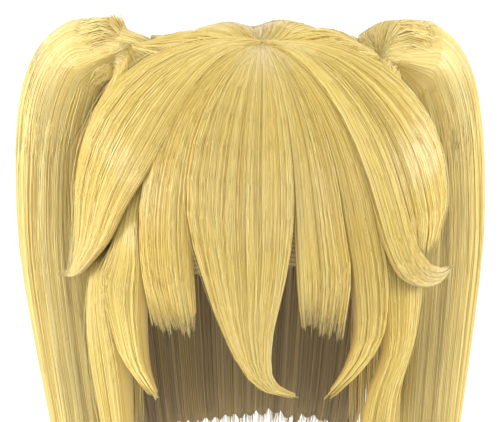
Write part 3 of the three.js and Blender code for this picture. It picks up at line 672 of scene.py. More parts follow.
# Columns: stations, columns and clumps of the sheet, strands over it, radius of a strand in millimetres
DETAIL = {
    "fringe_left": (36, 61, 12, 330, .14), "fringe_center": (44, 81, 12, 520, .15),
    "fringe_right": (36, 61, 11, 330, .14),
    "face_lock_right": (40, 33, 4, 150, .15), "face_lock_left": (32, 41, 5, 170, .15),
    "swept_lock_left": (44, 73, 9, 460, .15), "swept_lock_right": (44, 33, 4, 170, .15),
    "cheek_lock_right": (40, 81, 9, 380, .15), "side_lock_left": (36, 49, 6, 190, .16),
    "side_lock_right": (36, 41, 5, 160, .16), "back_hair": (44, 121, 22, 460, .25),
}
# How thick each edge is, as a share of the middle: left and right in the upper half, where neighbouring
# locks lie against each other without a step, then left and right near the tip
EDGES = {
    "fringe_left": (.97, .97, .5, .2), "fringe_center": (.85, .85, .2, .2),
    "fringe_right": (.97, .97, .2, .5),
    "face_lock_right": (.97, .97, .6, .5), "face_lock_left": (.6, .6, .5, .5),
    "swept_lock_left": (.9, -.12, .7, .4), "swept_lock_right": (-.05, .62, .4, .5),
    "cheek_lock_right": (.85, .6, .5, .5), "side_lock_left": (.55, .55, .5, .5),
    "side_lock_right": (.55, .55, .5, .5), "back_hair": (.6, .6, .5, .5),
}
ROOT_ALONG, ROOT_LOW, ROOT_HIGH = 0.008, 0.3, 0.6
NEAR_WHORL = 0.1
COLUMNS = ("along", "left", "right", "tilt", "low", "lean", "high")


def from_whorl(rows):
    """The same rows, with the hair of a lock that starts near the whorl carried on to its middle."""
    along, left, right, tilt, low, lean, high = rows[0]
    if along > NEAR_WHORL:
        return rows
    return ((ROOT_ALONG, left, right, tilt, ROOT_LOW, lean, ROOT_HIGH), *rows)


def crest_shares(rows):
    """Even shares of the length along a lock's crest, halfway between its edges."""
    return even_shares(rows, lambda r: on_head((r[..., 1] + r[..., 2]) / 2, r[..., 0], r[..., 6]))


def clumps(count, seed):
    """Uneven bundles side by side. Returns a function that tells, for a share across the lock, how crowned
    its bundle is there (1 in the middle, 0 at its edges), the bundle's number and its middle."""
    random = np.random.default_rng(seed)
    widths = random.uniform(0.6, 1.5, count)
    edges = np.concatenate(([0], np.cumsum(widths))) / widths.sum()
    middles = (edges[1:] + edges[:-1]) / 2

    def read(t):
        number = np.clip(np.searchsorted(edges, t, side="right") - 1, 0, count - 1)
        within = (t - edges[number]) / (edges[number + 1] - edges[number])
        return np.clip(1 - np.abs(2 * within - 1) ** 2, 0, 1), number, middles[number]

    return read


def lock_skin(rows, edges, way_of, v, t, lift=0.0, inward=0.0):
    """The outside of a lock at v along it and t across it, crowned: (sin pi t)^0.6 rounds it between its
    edge shares and the full thickness. lift moves the point outwards, inward a share of the way in."""
    row = smooth_rows(rows, way_of(v))
    along, left, right, tilt, low, lean, high = (row[..., k] for k in range(len(COLUMNS)))
    lower = ease((v - 0.35) / 0.4)
    side = ease(t)
    edge = mix(mix(edges[0], edges[1], side), mix(edges[2], edges[3], side), lower)
    crown = mix(edge, 1, np.sin(np.pi * np.clip(t, 0, 1)) ** 0.6)
    thin = (1 - inward) * mix(1, 0.45, ease((v - 0.8) / 0.2))
    return on_head(mix(left, right, t), along + tilt * t, mix(low + lean * t, high, crown * thin), lift)


def lock_under(rows, way_of, v, t):
    """The plain underside of a lock, a hair's clearance above the layer it lies on."""
    row = smooth_rows(rows, way_of(v))
    along, left, right, tilt, low, lean = (row[..., k] for k in range(6))
    return on_head(mix(left, right, t), along + tilt * t, low + lean * t, CLEARANCE)


BUNDLE_GROOVE = 0.0009
FINE_GROOVE = 0.0004
LEAST_WALL = 0.0003
ROOT_SPREAD = 0.0022
STAND_OFF = 0.0002
DENT_DEPTH = 0.0045
MILLIMETRE = 0.001
STRAND_STATIONS, BACK_STATIONS = 17, 24


def path_length(points):
    """The sum of the steps from point to point."""
    return np.linalg.norm(np.diff(points, axis=0), axis=1).sum()


def dent(name, v, t):
    """The dip in the middle of the hair behind the whorl: a bell across, gone a third of the way down."""
    deep = DENT_DEPTH if name == "back_hair" else 0.0
    return deep * np.exp(-(((t - 0.5) / 0.13) ** 2)) * (1 - ease((v - 0.12) / 0.25))


def lock_pieces(name, rows, material, strand_material, jag, brush, cling, lining=None):
    """The grooved sheet of a lock and the strands over it. jag is how unevenly its bundles end and brush
    how much of the tip is strands alone, as shares of its length. Strands crowd towards their bundle's
    middle at the tip: t moves to it by cling x v^6."""
    stations, columns, bundles, strands, radius = DETAIL[name]
    edges = EDGES[name]
    seed = sum(map(ord, name))
    random = np.random.default_rng(seed)
    read = clumps(bundles, seed)
    at_whorl = rows[0][0] < NEAR_WHORL
    rows = from_whorl(rows)
    way_of = crest_shares(rows)
    v, t = np.meshgrid(np.linspace(0, 1, stations), np.linspace(0, 1, columns), indexing="ij")
    crowned, number, _ = read(t)
    lengths = 1 - jag * random.uniform(0, 1, bundles)
    ends = lengths[number] - brush - 0.012 * (1 - crowned)
    v_cut = v * ends
    loose = mix(0.35, 1, ease(v_cut)) * np.sin(np.pi * np.clip(v_cut * 0.96 + 0.02, 0, 1)) ** 0.3
    groove = -BUNDLE_GROOVE * loose * (1 - crowned) - FINE_GROOVE - dent(name, v_cut, t)
    top = lock_skin(rows, edges, way_of, v_cut, t, groove)
    under = lock_under(rows, way_of, v_cut, t)
    away = unit(under - HEAD_MIDDLE)
    sunk = np.einsum("ijk,ijk->ij", top - under, away)
    under = under + np.minimum(sunk - LEAST_WALL, 0)[..., None] * away
    breadth = path_length(lock_skin(rows, edges, way_of, np.full(columns, 0.6), t[0]))
    length = path_length(lock_skin(rows, edges, way_of, v[:, 0], np.full(stations, 0.5)))
    uv = np.stack((t * breadth / DECIMETRE + seed % 7, v_cut * length / DECIMETRE), -1)
    tones = random.uniform(0.4, 0.6, bundles)[number]
    sheet = sewn_sheet(f"{name}_sheet", top, under, uv, tones, material, lining=lining)

    across = scattered(random, strands, 0.1, 0.9)
    crowned, number, centre = read(across)
    finish = np.clip(lengths[number] - 0.5 * brush * np.abs(random.normal(0, 1, strands)), 0.3, 1)
    ends_at = lengths[number] - brush
    share = np.linspace(0, 1, BACK_STATIONS if name == "back_hair" else STRAND_STATIONS)
    v = mix(random.uniform(0, 0.01 if at_whorl else 0.04, strands)[:, None], finish[:, None], share)
    pull = cling * v ** 6
    sway = random.normal(0, 0.005, strands)[:, None]
    sway = sway * np.sin(2 * np.pi * v * random.uniform(0.3, 0.9, strands)[:, None])
    t = np.clip(mix(across[:, None], centre[:, None], pull) + sway, 0.004, 0.996)
    crowned, _, _ = read(t)
    stand = np.abs(random.normal(0, 1, strands))[:, None] * STAND_OFF * np.sin(np.pi * share) ** 0.7
    lift = -BUNDLE_GROOVE * 0.9 * mix(0.35, 1, ease(v)) * (1 - crowned) + stand + 0.00005 - dent(name, v, t)
    inward = random.uniform(0, 0.9, strands)[:, None] * ease((v - ends_at[:, None] + 0.03) / 0.08)
    paths = lock_skin(rows, edges, way_of, v, t, lift, inward)
    if at_whorl:
        stray = random.normal(0, ROOT_SPREAD, (strands, 1, 3)) * (1, 1, 0.15)
        paths = paths + stray * (1 - ease(v / 0.16))[..., None]
    u = across * breadth / DECIMETRE + seed % 7
    hairs = hair_piece(random, f"{name}_strands", paths, radius * MILLIMETRE, u, strand_material)
    return sheet, hairs


# How unevenly bundles end, how much of the tip is strands alone, and how far strands draw together
CUT, TAPERED = (0.035, 0.05, 0.2), (0.025, 0.03, 0.55)
for name, rows in LOCKS.items():
    finish = CUT if name in ("fringe_left", "fringe_right") else TAPERED
    # The back hair's underside faces into the wig and takes the dark painted-shade fibre: painted shade.
    lining = painted_shade_fibre if name == "back_hair" else None
    pieces = lock_pieces(name, rows, shaded_gold_fibre, gold_strand, *finish, lining)
    for piece in pieces:
        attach(piece, "root")
    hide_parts(name)

# %% [markdown]
# ## The inside of the back hair
#
# From the front one looks through the face opening onto the inner side of the back hair. It is in shade,
# which is painted into it: its lining and these strands take the dark painted-shade fibre. Its ends are as
# ragged as the outside's, so it gets strands of its own.

# %%
def inner_strands(strands=360, stations=5):
    """Strands under the back hair from the cap's hem down, a little inside its underside."""
    random = np.random.default_rng(21)
    rows = LOCKS["back_hair"]
    way_of = crest_shares(rows)
    t = scattered(random, strands)[:, None]
    v = mix(0.6, random.uniform(0.93, 1, strands)[:, None], np.linspace(0, 1, stations))
    row = smooth_rows(rows, way_of(v))
    depth = row[..., 4] + random.uniform(-0.05, 0.12, strands)[:, None]
    paths = on_head(mix(row[..., 1], row[..., 2], t), row[..., 0], depth)
    return hair_piece(
        random, "back_hair_inner_strands", paths, 0.0003, t[:, 0] * 3, painted_shade_fibre,
    )


inner = inner_strands()
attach(inner, "root")

# %% [markdown]
# ## Base coat and cap
#
# The cap is a thin dome from the whorl to the hairline, and the base coat is the same dome a little further
# out. One function makes both: a grid of shares of the way to the hairline, read at two depths for the two
# faces. The hairline is one short table, so a changed row moves the edge of both.

# %%
HAIRLINE = ((0, .74), (40, .82), (65, 1), (85, 1.1), (110, 1.04), (145, 1.3), (180, 1.4))


def hairline(azimuth):
    """How far down the cap reaches, eased between the rows and alike on both sides."""
    at, along = np.array(HAIRLINE, float).T
    a = np.abs((azimuth + 180) % 360 - 180)
    k = np.clip(np.searchsorted(at, a, side="right") - 1, 0, len(at) - 2)
    return mix(along[k], along[k + 1], ease((a - at[k]) / (at[k + 1] - at[k])))


def shell(name, inner, outer, hem, stations, columns, material):
    """A dome from near the whorl to the hairline: along = share x hairline, its two faces at two depths."""
    share, azimuth = np.meshgrid(
        np.linspace(0.001, 1, stations), np.linspace(-180, 180, columns, endpoint=False), indexing="ij",
    )
    way = (hairline(azimuth) - hem) * share
    top = on_head(azimuth, way, *outer)
    under = on_head(azimuth, way, *inner)
    uv = np.stack((azimuth / 360 * 5, way * 1.6), -1)
    return sewn_sheet(name, top, under, uv, np.full(azimuth.shape, 0.5), material, wrap=True)


CROWN_HEM = 0.02
SHELL_GRID = (24, 96)
# The base coat shows only in the gaps between locks, so it takes the dark painted-shade fibre: painted shade.
base_coat = shell("base_coat", (0, CLEARANCE), (BASE_DEPTH, 0), CROWN_HEM, *SHELL_GRID, painted_shade_fibre)
net_cap = shell("net_cap", (0, -CAP_WALL), (0, 0), 0, *SHELL_GRID, cap_net)
for piece, node, slot in ((base_coat, "crown_hair", "root_hair"), (net_cap, "cap", "cap")):
    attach(piece, "root")
    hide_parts(node)

# %% [markdown]
# ## Ties, gathers and tails
#
# Everything here hangs on one place, the seat: a point on the head and the direction away from it. The
# gather is a fan of spokes from the seat to an uneven edge, and the tail is an oval carried along a curve
# through a table. A swept oval is easier to steer than a free mesh, because each row of the table says how
# far out, how low and how thick the tail is at one place.

# %%
# Columns: side, azimuth, along, rise, reach, arch, splay; lengths in metres
TIES = {
    "left": (-1, 112, .46, .012, .043, -.006, -.008),
    "right": (1, 111, .5, .009, .041, -.007, .0085),
}
ROOT_RADIUS, TIE_CORD, SEAT_GAP = 0.009, 0.0036, 0.0003
PLATEAU = ROOT_RADIUS + TIE_CORD + 5 * SEAT_GAP
GATHER_PUFF = {"left": 0.0055, "right": 0.002}
RING_RADIUS = ROOT_RADIUS + SEAT_GAP + TIE_CORD / 2
NECK_LENGTH = TIE_CORD + 4 * SEAT_GAP
# Columns: azimuth, along, high, slope
GATHER_EDGE = (
    (102, .07, .7, .5), (93, .15, .84, .8), (82, .32, .56, 1.9), (73, .6, .58, 2.8), (69, .82, .6, 2.6),
    (78, .93, .66, 2), (94, .97, .92, 1.7), (110, .98, .9, 1.9), (118, .84, .82, 2.2), (120, .58, .86, 1.6),
    (121, .36, 1.2, 1), (115, .16, 1.15, .9),
)
# Columns: out, lift, drop, back, root, girth, as shares of reach, arch, length, setback and section
TAIL = (
    (0, 0, 0, 0, 1, 0), (.1, -.3, 0, .12, .7, .3), (.25, 0, 0, .28, .2, .75), (.45, .35, 0, .48, 0, .93),
    (.67, .95, .01, .68, 0, .98), (.85, .85, .055, .84, 0, 1), (.96, .45, .12, .96, 0, 1),
    (1, .15, .2, 1, 0, 1),
    (.99, 0, .3, 1, 0, 1), (.88, 0, .42, 1, 0, .98), (.74, 0, .56, 1, 0, .92), (.62, 0, .7, 1, 0, .8),
    (.55, 0, .85, 1, 0, .56), (.52, 0, .95, 1, 0, .32), (.52, 0, 1, 1, 0, .1),
)
TAIL_LENGTH, TAIL_SETBACK, TAIL_WIDTH, TAIL_DEPTH = 0.4, 0.021, 0.043, 0.046


def seat_of(tie):
    """Where a tail leaves the gathered hair, and the direction it leaves in."""
    side, azimuth, along, rise = TIES[tie][:4]
    normal = outward(side * azimuth, along, GATHER_DEPTH)
    return on_head(side * azimuth, along, GATHER_DEPTH) + rise * normal, normal


def gather_edge(round_share):
    """The fan's edge at a share of the way round it, on a smooth closed curve through the rows."""
    closed = GATHER_EDGE[-1:] + GATHER_EDGE + GATHER_EDGE[:2]
    return smooth_rows(closed, (1 + (round_share % 1) * len(GATHER_EDGE)) / (len(closed) - 1))


def spoke_share(tie, edge, q):
    """How far along its whole spoke a place is: q runs from the rim of the flat seat to the fan's edge."""
    tie_azimuth, tie_along = TIES[tie][1:3]
    hub = on_head(tie_azimuth, tie_along, GATHER_DEPTH)
    reach = np.linalg.norm(on_head(edge[..., 0], edge[..., 1], GATHER_DEPTH) - hub, axis=-1)
    return mix(PLATEAU / reach, 1, q)


def gather_skin(tie, round_share, q, lift=0.0):
    """The gathered hair at a share round the fan, q from 0 at the tie to 1 at its edge. A spoke runs straight
    in azimuth and along; the coat thickens with the square of the way out, thins over the last quarter, and
    rises towards the tie by rise x (1 - q)^slope. The first ring is flat, round the tail's seat."""
    side, tie_azimuth, tie_along, rise = TIES[tie][:4]
    seat, normal = seat_of(tie)
    edge = gather_edge(round_share)
    azimuth, along, high, slope = (edge[..., k] for k in range(4))
    s = spoke_share(tie, edge, q)
    gather_azimuth = azimuth
    azimuth = side * mix(tie_azimuth, azimuth, s)
    way = mix(tie_along, along, s)
    full = mix(GATHER_DEPTH, high, s ** 2)
    depth = mix(full, mix(BASE_DEPTH, full, EDGE_SHARE), np.maximum(0, 4 * s - 3))
    lean = unit(mix(outward(azimuth, way, depth), normal, (1 - s)[..., None]))
    puff = GATHER_PUFF[tie] * np.sin(np.pi * q) * ease((along - 0.2) / 0.3)
    puff = puff * ease((112 - gather_azimuth) / 20)
    skin = on_head(azimuth, way, depth, lift + puff) + lean * (rise * (1 - q) ** slope)[..., None]
    radial = skin - seat
    flat = unit(radial - (radial @ normal)[..., None] * normal) * PLATEAU + seat
    return mix(flat, skin, ease(q / 0.2)[..., None])


def ring_grid(stations, columns):
    """Shares along and round a piece whose columns close into a ring."""
    return np.meshgrid(np.linspace(0, 1, stations), np.linspace(0, 1, columns, endpoint=False), indexing="ij")


def gather_pieces(tie):
    """The sheet and strands of one fan."""
    side, tie_azimuth, tie_along = TIES[tie][:3]
    random = np.random.default_rng(31 + side)
    stations, columns, bundles, strands = 24, 140, 34, 400
    q, around = ring_grid(stations, columns)
    read = clumps(bundles, 5 + side)
    crowned, number, _ = read(around)
    groove = -0.0008 * (1 - crowned) * np.sin(np.pi * np.clip(q, 0.05, 0.97)) ** 0.4 - FINE_GROOVE
    top = gather_skin(tie, around, q, groove)
    edge = gather_edge(around)
    s = spoke_share(tie, edge, q)
    under = on_head(
        side * mix(tie_azimuth, edge[..., 0], s), mix(tie_along, edge[..., 1], s),
        BASE_DEPTH, CLEARANCE + SEAT_GAP,
    )
    uv = np.stack((around * 2.6, q * 0.7), -1)
    tones = random.uniform(0.35, 0.65, bundles)[number]
    sheet = sewn_sheet(f"gather_{tie}_sheet", top, under, uv, tones, shaded_gold_fibre, wrap=True)
    across = scattered(random, strands, 0.1, 0.9)
    share = np.linspace(0, 1, 12)
    q = mix(random.uniform(0.93, 1, strands)[:, None], 0.0, share)
    t = across[:, None] + random.normal(0, 0.003, strands)[:, None] * np.sin(2 * np.pi * q)
    crowned, _, _ = read(t % 1)
    stand = np.abs(random.normal(0, 1, strands))[:, None] * STAND_OFF * np.sin(np.pi * share)
    lift = -0.0006 * (1 - crowned) + stand
    paths = gather_skin(tie, t, q, lift)
    hairs = hair_piece(
        random, f"gather_{tie}_strands", paths, 0.00022, across * 2.6, gold_strand,
    )
    return sheet, hairs


def tail_middle(tie, share):
    """A tail's centreline, the direction it runs in and its two half widths, at shares of its length."""
    side, _, _, _, reach, arch, splay = TIES[tie]
    seat, normal = seat_of(tie)

    def place(row):
        out, lift, drop, back = (row[..., k] for k in range(4))
        return seat + normal * NECK_LENGTH + np.stack((
            side * (out * reach + drop * splay), back * TAIL_SETBACK, lift * arch - drop * TAIL_LENGTH,
        ), -1)

    rows = smooth_rows(TAIL, even_shares(TAIL, place)(share))
    centre = place(rows)
    ahead = unit(np.gradient(centre, axis=0))
    ahead[0] = normal
    wide = ROOT_RADIUS * rows[:, 4] + TAIL_WIDTH / 2 * rows[:, 5]
    deep = ROOT_RADIUS * rows[:, 4] + TAIL_DEPTH / 2 * rows[:, 5]
    return centre, ahead, wide, deep


def tail_skin(tie):
    """A function that gives the tail's surface at v along it, a share round it and a share of its section."""
    stations = 160
    centre, ahead, wide, deep = tail_middle(tie, np.linspace(0, 1, stations))
    deep_axis = unit(np.array((0.0, 1.0, 0.0)) - ahead[:, 1:2] * ahead)
    wide_axis = np.cross(ahead, deep_axis)

    def skin(v, around, size):
        at = np.clip(v, 0, 1) * (stations - 1)
        below = np.clip(at.astype(int), 0, stations - 2)
        f = (at - below)[..., None]
        turn = 2 * np.pi * around
        middle = mix(centre[below], centre[below + 1], f)
        half_wide = mix(wide[below, None] * wide_axis[below], wide[below + 1, None] * wide_axis[below + 1], f)
        half_deep = mix(deep[below, None] * deep_axis[below], deep[below + 1, None] * deep_axis[below + 1], f)
        sideways = (np.cos(turn) * size)[..., None] * half_wide
        return middle + sideways + (np.sin(turn) * size)[..., None] * half_deep

    return skin


TWIST = 0.05
TAIL_STATIONS = 22
TAIL_ROUND, TAIL_ALONG = 1.4, 4.6


def tail_pieces(tie):
    """The bundle of a tail: an oval whose deep axis runs front to back, with bundles round it, swept along
    the centreline, and strands over it that end at different lengths."""
    side = TIES[tie][0]
    random = np.random.default_rng(77 + side)
    stations, columns, bundles, strands = 80, 72, 17, 500
    skin = tail_skin(tie)
    read = clumps(bundles, 3 + side)
    v, around = ring_grid(stations, columns)
    twist = TWIST * np.sin(2.5 * v + side)
    crowned, number, _ = read((around + twist) % 1)
    size = 0.99 - 0.06 * (1 - crowned) * ease(v / 0.1)
    surface = skin(v, around, size)
    ends = skin(v[[0, -1]], around[[0, -1]], np.zeros((2, columns)))
    surface = np.concatenate((ends[:1], surface, ends[1:]))
    tones = random.uniform(0.4, 0.6, bundles)[np.concatenate((number[:1], number, number[-1:]))]
    faces, cells = grid_faces(stations + 2, columns, wrap=True)
    uv_grid = np.stack((around * TAIL_ROUND, v * TAIL_ALONG), -1)
    uv_grid = np.concatenate((uv_grid[:1], uv_grid, uv_grid[-1:]))
    uv_grid = np.concatenate((uv_grid, uv_grid[:, :1] + (TAIL_ROUND, 0)), axis=1)
    bundle = make_piece(
        f"tail_{tie}_bundle", surface.reshape(-1, 3), [faces], [uv_grid[cells[..., 0], cells[..., 1]]],
        tones.ravel(), shaded_pale_fibre,
    )
    around = scattered(random, strands, 0.1, 0.9)
    finish = 1 - 0.3 * random.uniform(0, 1, strands) ** 2.2
    v = np.linspace(0, 1, TAIL_STATIONS) * finish[:, None]
    sway = random.normal(0, 0.004, strands)[:, None]
    sway = sway * np.sin(2 * np.pi * v * random.uniform(0.5, 1.5, strands)[:, None])
    t = around[:, None] + sway
    crowned, _, _ = read(t % 1)
    stand = np.abs(random.normal(0, 1, strands))[:, None] * 0.008 * ease(v / 0.15)
    size = 1.003 - 0.055 * (1 - crowned) * ease(v / 0.1) + stand
    t = t - TWIST * np.sin(2.5 * v + side)
    paths = skin(v, t, size)
    hairs = hair_piece(
        random, f"tail_{tie}_strands", paths, 0.00024, around * TAIL_ROUND, pale_strand,
        middle=skin(v, t, np.zeros_like(v)),
    )
    return bundle, hairs


PALE = (
    (0.05, 0.52, 0.37, 0.10), (0.38, 0.71, 0.55, 0.17), (0.62, 0.79, 0.65, 0.25), (0.95, 0.90, 0.81, 0.43),
)
# The tail's bundle shows only in the gaps between its strands, so its ramp leaves out the palest stop:
# painted shade.
shaded_pale_fibre = fibre("pale fibre", PALE[:3], roughness=0.5)
pale_strand = fibre("pale strand", PALE, tone_share=1.0, brushed=0, bump=0.05)
for tie in TIES:
    for make, node, slot in ((gather_pieces, "gather", "hair"), (tail_pieces, "tail", "tail_hair")):
        pieces = make(tie)
        for piece in pieces:
            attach(piece, "root")
        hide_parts(f"{node}_{tie}")

# %% [markdown]
# ## Elastics
#
# Each elastic is a cord whose yarn cover is drawn into ribs. It is a torus whose cord radius rises and falls
# round the ring, and the ribs lean because the count of turns along the cord is added to the place round it.

# %%
def elastic_ring(tie, around=144, cord=12, ribs=36):
    """A ring of cord radius r (1 + 0.04 cos(ribs x turn + 3 x roll)), lying on the gather's flat seat."""
    seat, normal = seat_of(tie)
    first = unit(np.cross(normal, (0.0, 0.0, 1.0)))
    second = np.cross(normal, first)
    turns, rolls = (np.linspace(0, 2 * np.pi, count, endpoint=False) for count in (around, cord))
    turn, roll = np.meshgrid(turns, rolls, indexing="ij")
    radial = np.cos(turn)[..., None] * first + np.sin(turn)[..., None] * second
    radius = TIE_CORD / 2 * 0.96 * (1 + 0.04 * np.cos(ribs * turn + 3 * roll))
    place = (RING_RADIUS + radius * np.cos(roll))[..., None] * radial
    middle = seat + normal * (2 * SEAT_GAP + TIE_CORD / 2)
    points = middle + place + (radius * np.sin(roll))[..., None] * normal
    faces, cells = grid_faces(around + 1, cord, wrap=True)
    faces = faces % (around * cord)
    uv = np.stack((cells[..., 1] / cord, cells[..., 0] / around), -1)
    return make_piece(f"elastic_{tie}", points.reshape(-1, 3), [faces], [uv], 0.5, elastic_yarn)


for tie in TIES:
    ring = elastic_ring(tie)
    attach(ring, "root")
    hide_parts(f"tie_{tie}")

# %% [markdown]
# ## Hair over the elastics
#
# An elastic is hardly seen: hair from the edge of the gather is laid over it before it goes into the tail,
# so the ring shows as a dark line between strands. Each covering strand is a short smooth curve through
# a few places: under the edge of the flat seat, over the ring, and down onto the tail.

# %%
def wrap_strands(tie, strands=400, stations=11):
    """Strands from the gather over the ring and onto the tail."""
    random = np.random.default_rng(11)
    seat, normal = seat_of(tie)
    skin = tail_skin(tie)
    around = scattered(random, strands)
    hub = skin(np.zeros(strands), around, np.zeros(strands))
    radial = unit(skin(np.zeros(strands), around, np.ones(strands)) - hub)

    def over(radius, height):
        loose = radius + 0.0006 * np.abs(random.normal(0, 1, strands))
        return seat + radial * loose[:, None] + normal * height

    drift = random.normal(0, 0.006, strands)
    reach = random.uniform(0.05, 0.3, strands)
    places = np.stack((
        over(PLATEAU + 0.004, -0.0022), over(PLATEAU + 0.0002, 0.0012), over(RING_RADIUS + 0.0019, 0.0036),
        skin(np.full(strands, 0.035), around + 0.3 * drift, np.full(strands, 1.02)),
        skin(0.035 + 0.35 * reach, around + drift, np.full(strands, 1.01)),
        skin(0.035 + reach, around + 2 * drift, np.full(strands, 0.995)),
    ))
    paths = curves_through(places, stations)
    return hair_piece(
        random, f"tie_{tie}_cover", paths, 0.00028, around * TAIL_ROUND, pale_strand, 0.45, middle=seat,
    )


for tie in TIES:
    cover = wrap_strands(tie)
    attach(cover, "root")

# %% [markdown]
# ## The pinch
#
# The eye doesn't see an elastic at all: it sees hair that runs together into one small dark spot and springs
# out of it again. So on the front of each tie a layer of strands starts at one point, and fans out over the
# gather on one side and over the tail on the other.

# %%
PINCH = {"left": (-0.0018, 0.0076, 0.0125), "right": (0.0, 0.003, 0.0145)}
TO_FRONT = np.array(towards_camera)
TO_RIGHT = unit(np.cross((0.0, 0.0, 1.0), TO_FRONT))
TO_TOP = np.cross(TO_FRONT, TO_RIGHT)


def pinch_spot(tie):
    """Where a tie's strands run together: its seat, moved right, up and forwards as the camera sees it."""
    return seat_of(tie)[0] + np.array(PINCH[tie]) @ np.stack((TO_RIGHT, TO_TOP, TO_FRONT))


def pinch_strands(tie, strands=340, stations=18):
    """Strands from the pinch to a place round the tail's front half, then along its skin until they merge."""
    random = np.random.default_rng(23)
    seat, normal = seat_of(tie)
    skin = tail_skin(tie)
    spot = pinch_spot(tie)
    around = mix(0.46, 1.04, scattered(random, strands))
    below = np.clip((0.75 - around) / 0.25 if tie == "right" else (around - 0.75) / 0.25, 0, 1)
    first = mix(0.13, 0.27, below ** 1.2)
    step = random.uniform(0.035, 0.06, strands)

    def on_tail(count, size):
        return skin(first + count * step, around, np.full(strands, size))

    landing = on_tail(0, 1.05)
    corner = mix(spot, landing, 0.7) + 0.0016 * TO_FRONT
    corner[:, 2] = mix(spot[2], landing[:, 2], mix(0.6, 0.3, below))

    def bend(share):
        return (1 - share) ** 2 * spot + 2 * share * (1 - share) * corner + share ** 2 * landing

    places = np.stack((
        spot + random.normal(0, 0.0007, (strands, 3)), bend(0.25), bend(0.5), bend(0.75), landing,
        on_tail(0.5, 1.05), on_tail(1, 1.045), on_tail(1.5, 1.04), on_tail(2, 1.03), on_tail(2.6, 1.015),
        on_tail(3.3, 1.0), on_tail(4, 0.96),
    ))
    paths = curves_through(places, stations)
    return hair_piece(
        random, f"tail_{tie}_front_strands", paths, 0.00026, around * TAIL_ROUND, pale_strand,
        middle=seat + 0.05 * normal,
    )


def gathered_strands(tie, strands=260, stations=10):
    """Strands that lie on the front of the gather and run together at the pinch."""
    random = np.random.default_rng(29)
    spot = pinch_spot(tie)
    t = mix(-0.06, 0.5, scattered(random, strands))
    end = random.uniform(0.45, 0.9, strands)
    near = np.full(strands, 0.16)

    def on_gather(q, lift):
        return gather_skin(tie, t, q, lift)

    places = np.stack((
        on_gather(end, -0.0002), on_gather(0.7 * end, 0.0004), on_gather(0.4 * end, 0.0008),
        mix(spot, on_gather(near, 0.0016), 0.6), spot + random.normal(0, 0.0006, (strands, 3)),
    ))
    paths = curves_through(places, stations)
    return hair_piece(
        random, f"gather_{tie}_front_strands", paths, 0.00018, t * 2.6, gold_strand,
    )


for tie in TIES:
    for piece, slot in ((pinch_strands(tie), "tail_hair"), (gathered_strands(tie), "hair")):
        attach(piece, "root")

# %% [markdown]
# ## The inner side of the tails
#
# Not all hair of a tail goes out over the arch. Part of it turns straight down beside the head as it leaves
# the elastic, and closes the corner between the arch and the head. It lies deeper, in shade, so its strands
# get a lower tone: painted shade.

# %%
def drape_strands(tie, strands=240, stations=13):
    """Strands that leave the ring, turn down by their own share of the corner, and lie on the tail's inner
    side. depth_share is 0 for those in front and 1 for those at the back."""
    random = np.random.default_rng(17)
    side = TIES[tie][0]
    seat, normal = seat_of(tie)
    skin = tail_skin(tie)
    out_share, depth_share = random.uniform(0, 1, (2, strands))
    around = (0.0 if side < 0 else 0.5) + side * mix(0.2, -0.05, depth_share)

    def beside(out, drop):
        return seat + np.stack((side * out, mix(0.0015, 0.015, depth_share), np.full(strands, -drop)), -1)

    def on_tail(v, size):
        return skin(np.full(strands, v), around, np.full(strands, size))

    places = np.stack((
        seat + normal * 0.001 + random.normal(0, 0.003, (strands, 3)),
        beside(0.005 + 0.004 * out_share, -0.003),
        beside(0.010 + 0.007 * out_share, 0.003), beside(0.014 + 0.008 * out_share, 0.014),
        on_tail(0.3, 1.03), on_tail(0.38, 1.02), on_tail(0.5, 1.0), on_tail(0.66, 0.94),
    ))
    paths = curves_through(places, stations)
    return hair_piece(
        random, f"tail_{tie}_inner_strands", paths, 0.00024, around * TAIL_ROUND, pale_strand, 0.32,
        middle=on_tail(0.3, 0.0)[:, None],
    )


for tie in TIES:
    drape = drape_strands(tie)
    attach(drape, "root")

# %% [markdown]
# ## The fan over the right tie
#
# Above the right tie the hair of the tail first stands up and back over the crown before it turns outwards,
# so a fan in shade opens from the pinch of the elastic.

# %%
def fan_strands(strands=280, stations=13):
    """From the pinch, each strand rises to its own place on an arc, turns back and joins the tail's top."""
    random = np.random.default_rng(5)
    seat, normal = seat_of("right")
    skin = tail_skin("right")
    open_share = np.linspace(0, 1, strands)
    across = np.array((0.99, -0.139, 0.0))
    middle = seat + normal * 0.003
    spot = pinch_spot("right")
    start = spot + random.normal(0, 0.0007, (strands, 3))
    sideways = mix(-0.0150, 0.013, open_share)
    height = mix(0.0128, 0.0212, np.sin(np.pi / 2 * np.clip(1.5 * open_share, 0, 1)))
    height = height * (1 - 0.06 * random.uniform(0, 1, strands) ** 2)
    rim = middle + sideways[:, None] * across + height[:, None] * (0.0, 0.3, 0.94)
    places = np.stack((
        start, mix(start, rim, 0.45) + 0.0022 * TO_FRONT, mix(start, rim, 0.8) + 0.0016 * TO_FRONT,
        rim + (0.003, 0.003, 0.0004), rim + (0.009, 0.008, -0.0025), rim + (0.015, 0.012, -0.008),
        skin(np.full(strands, 0.22), 0.12 + 0.1 * open_share, np.full(strands, 0.93)),
    ))
    paths = curves_through(places, stations)
    # A tone of 0.4, below the middle, is painted shade for the fan.
    return hair_piece(
        random, "tie_right_fan", paths, 0.00024, open_share, pale_strand, 0.4,
        middle=seat - (0.0, -0.03, 0.0),
    )


fan = fan_strands()
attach(fan, "root")

# %% [markdown]
# ## Short hair over the hem
#
# Beside the ears the base coat ends on the cap's edge. On the real wig short fibres of the first sewn rows
# hang over that edge and hide it, so each side gets a curtain of short, uneven strands.

# %%
SIDE_NAMES = {-1: "left", 1: "right"}


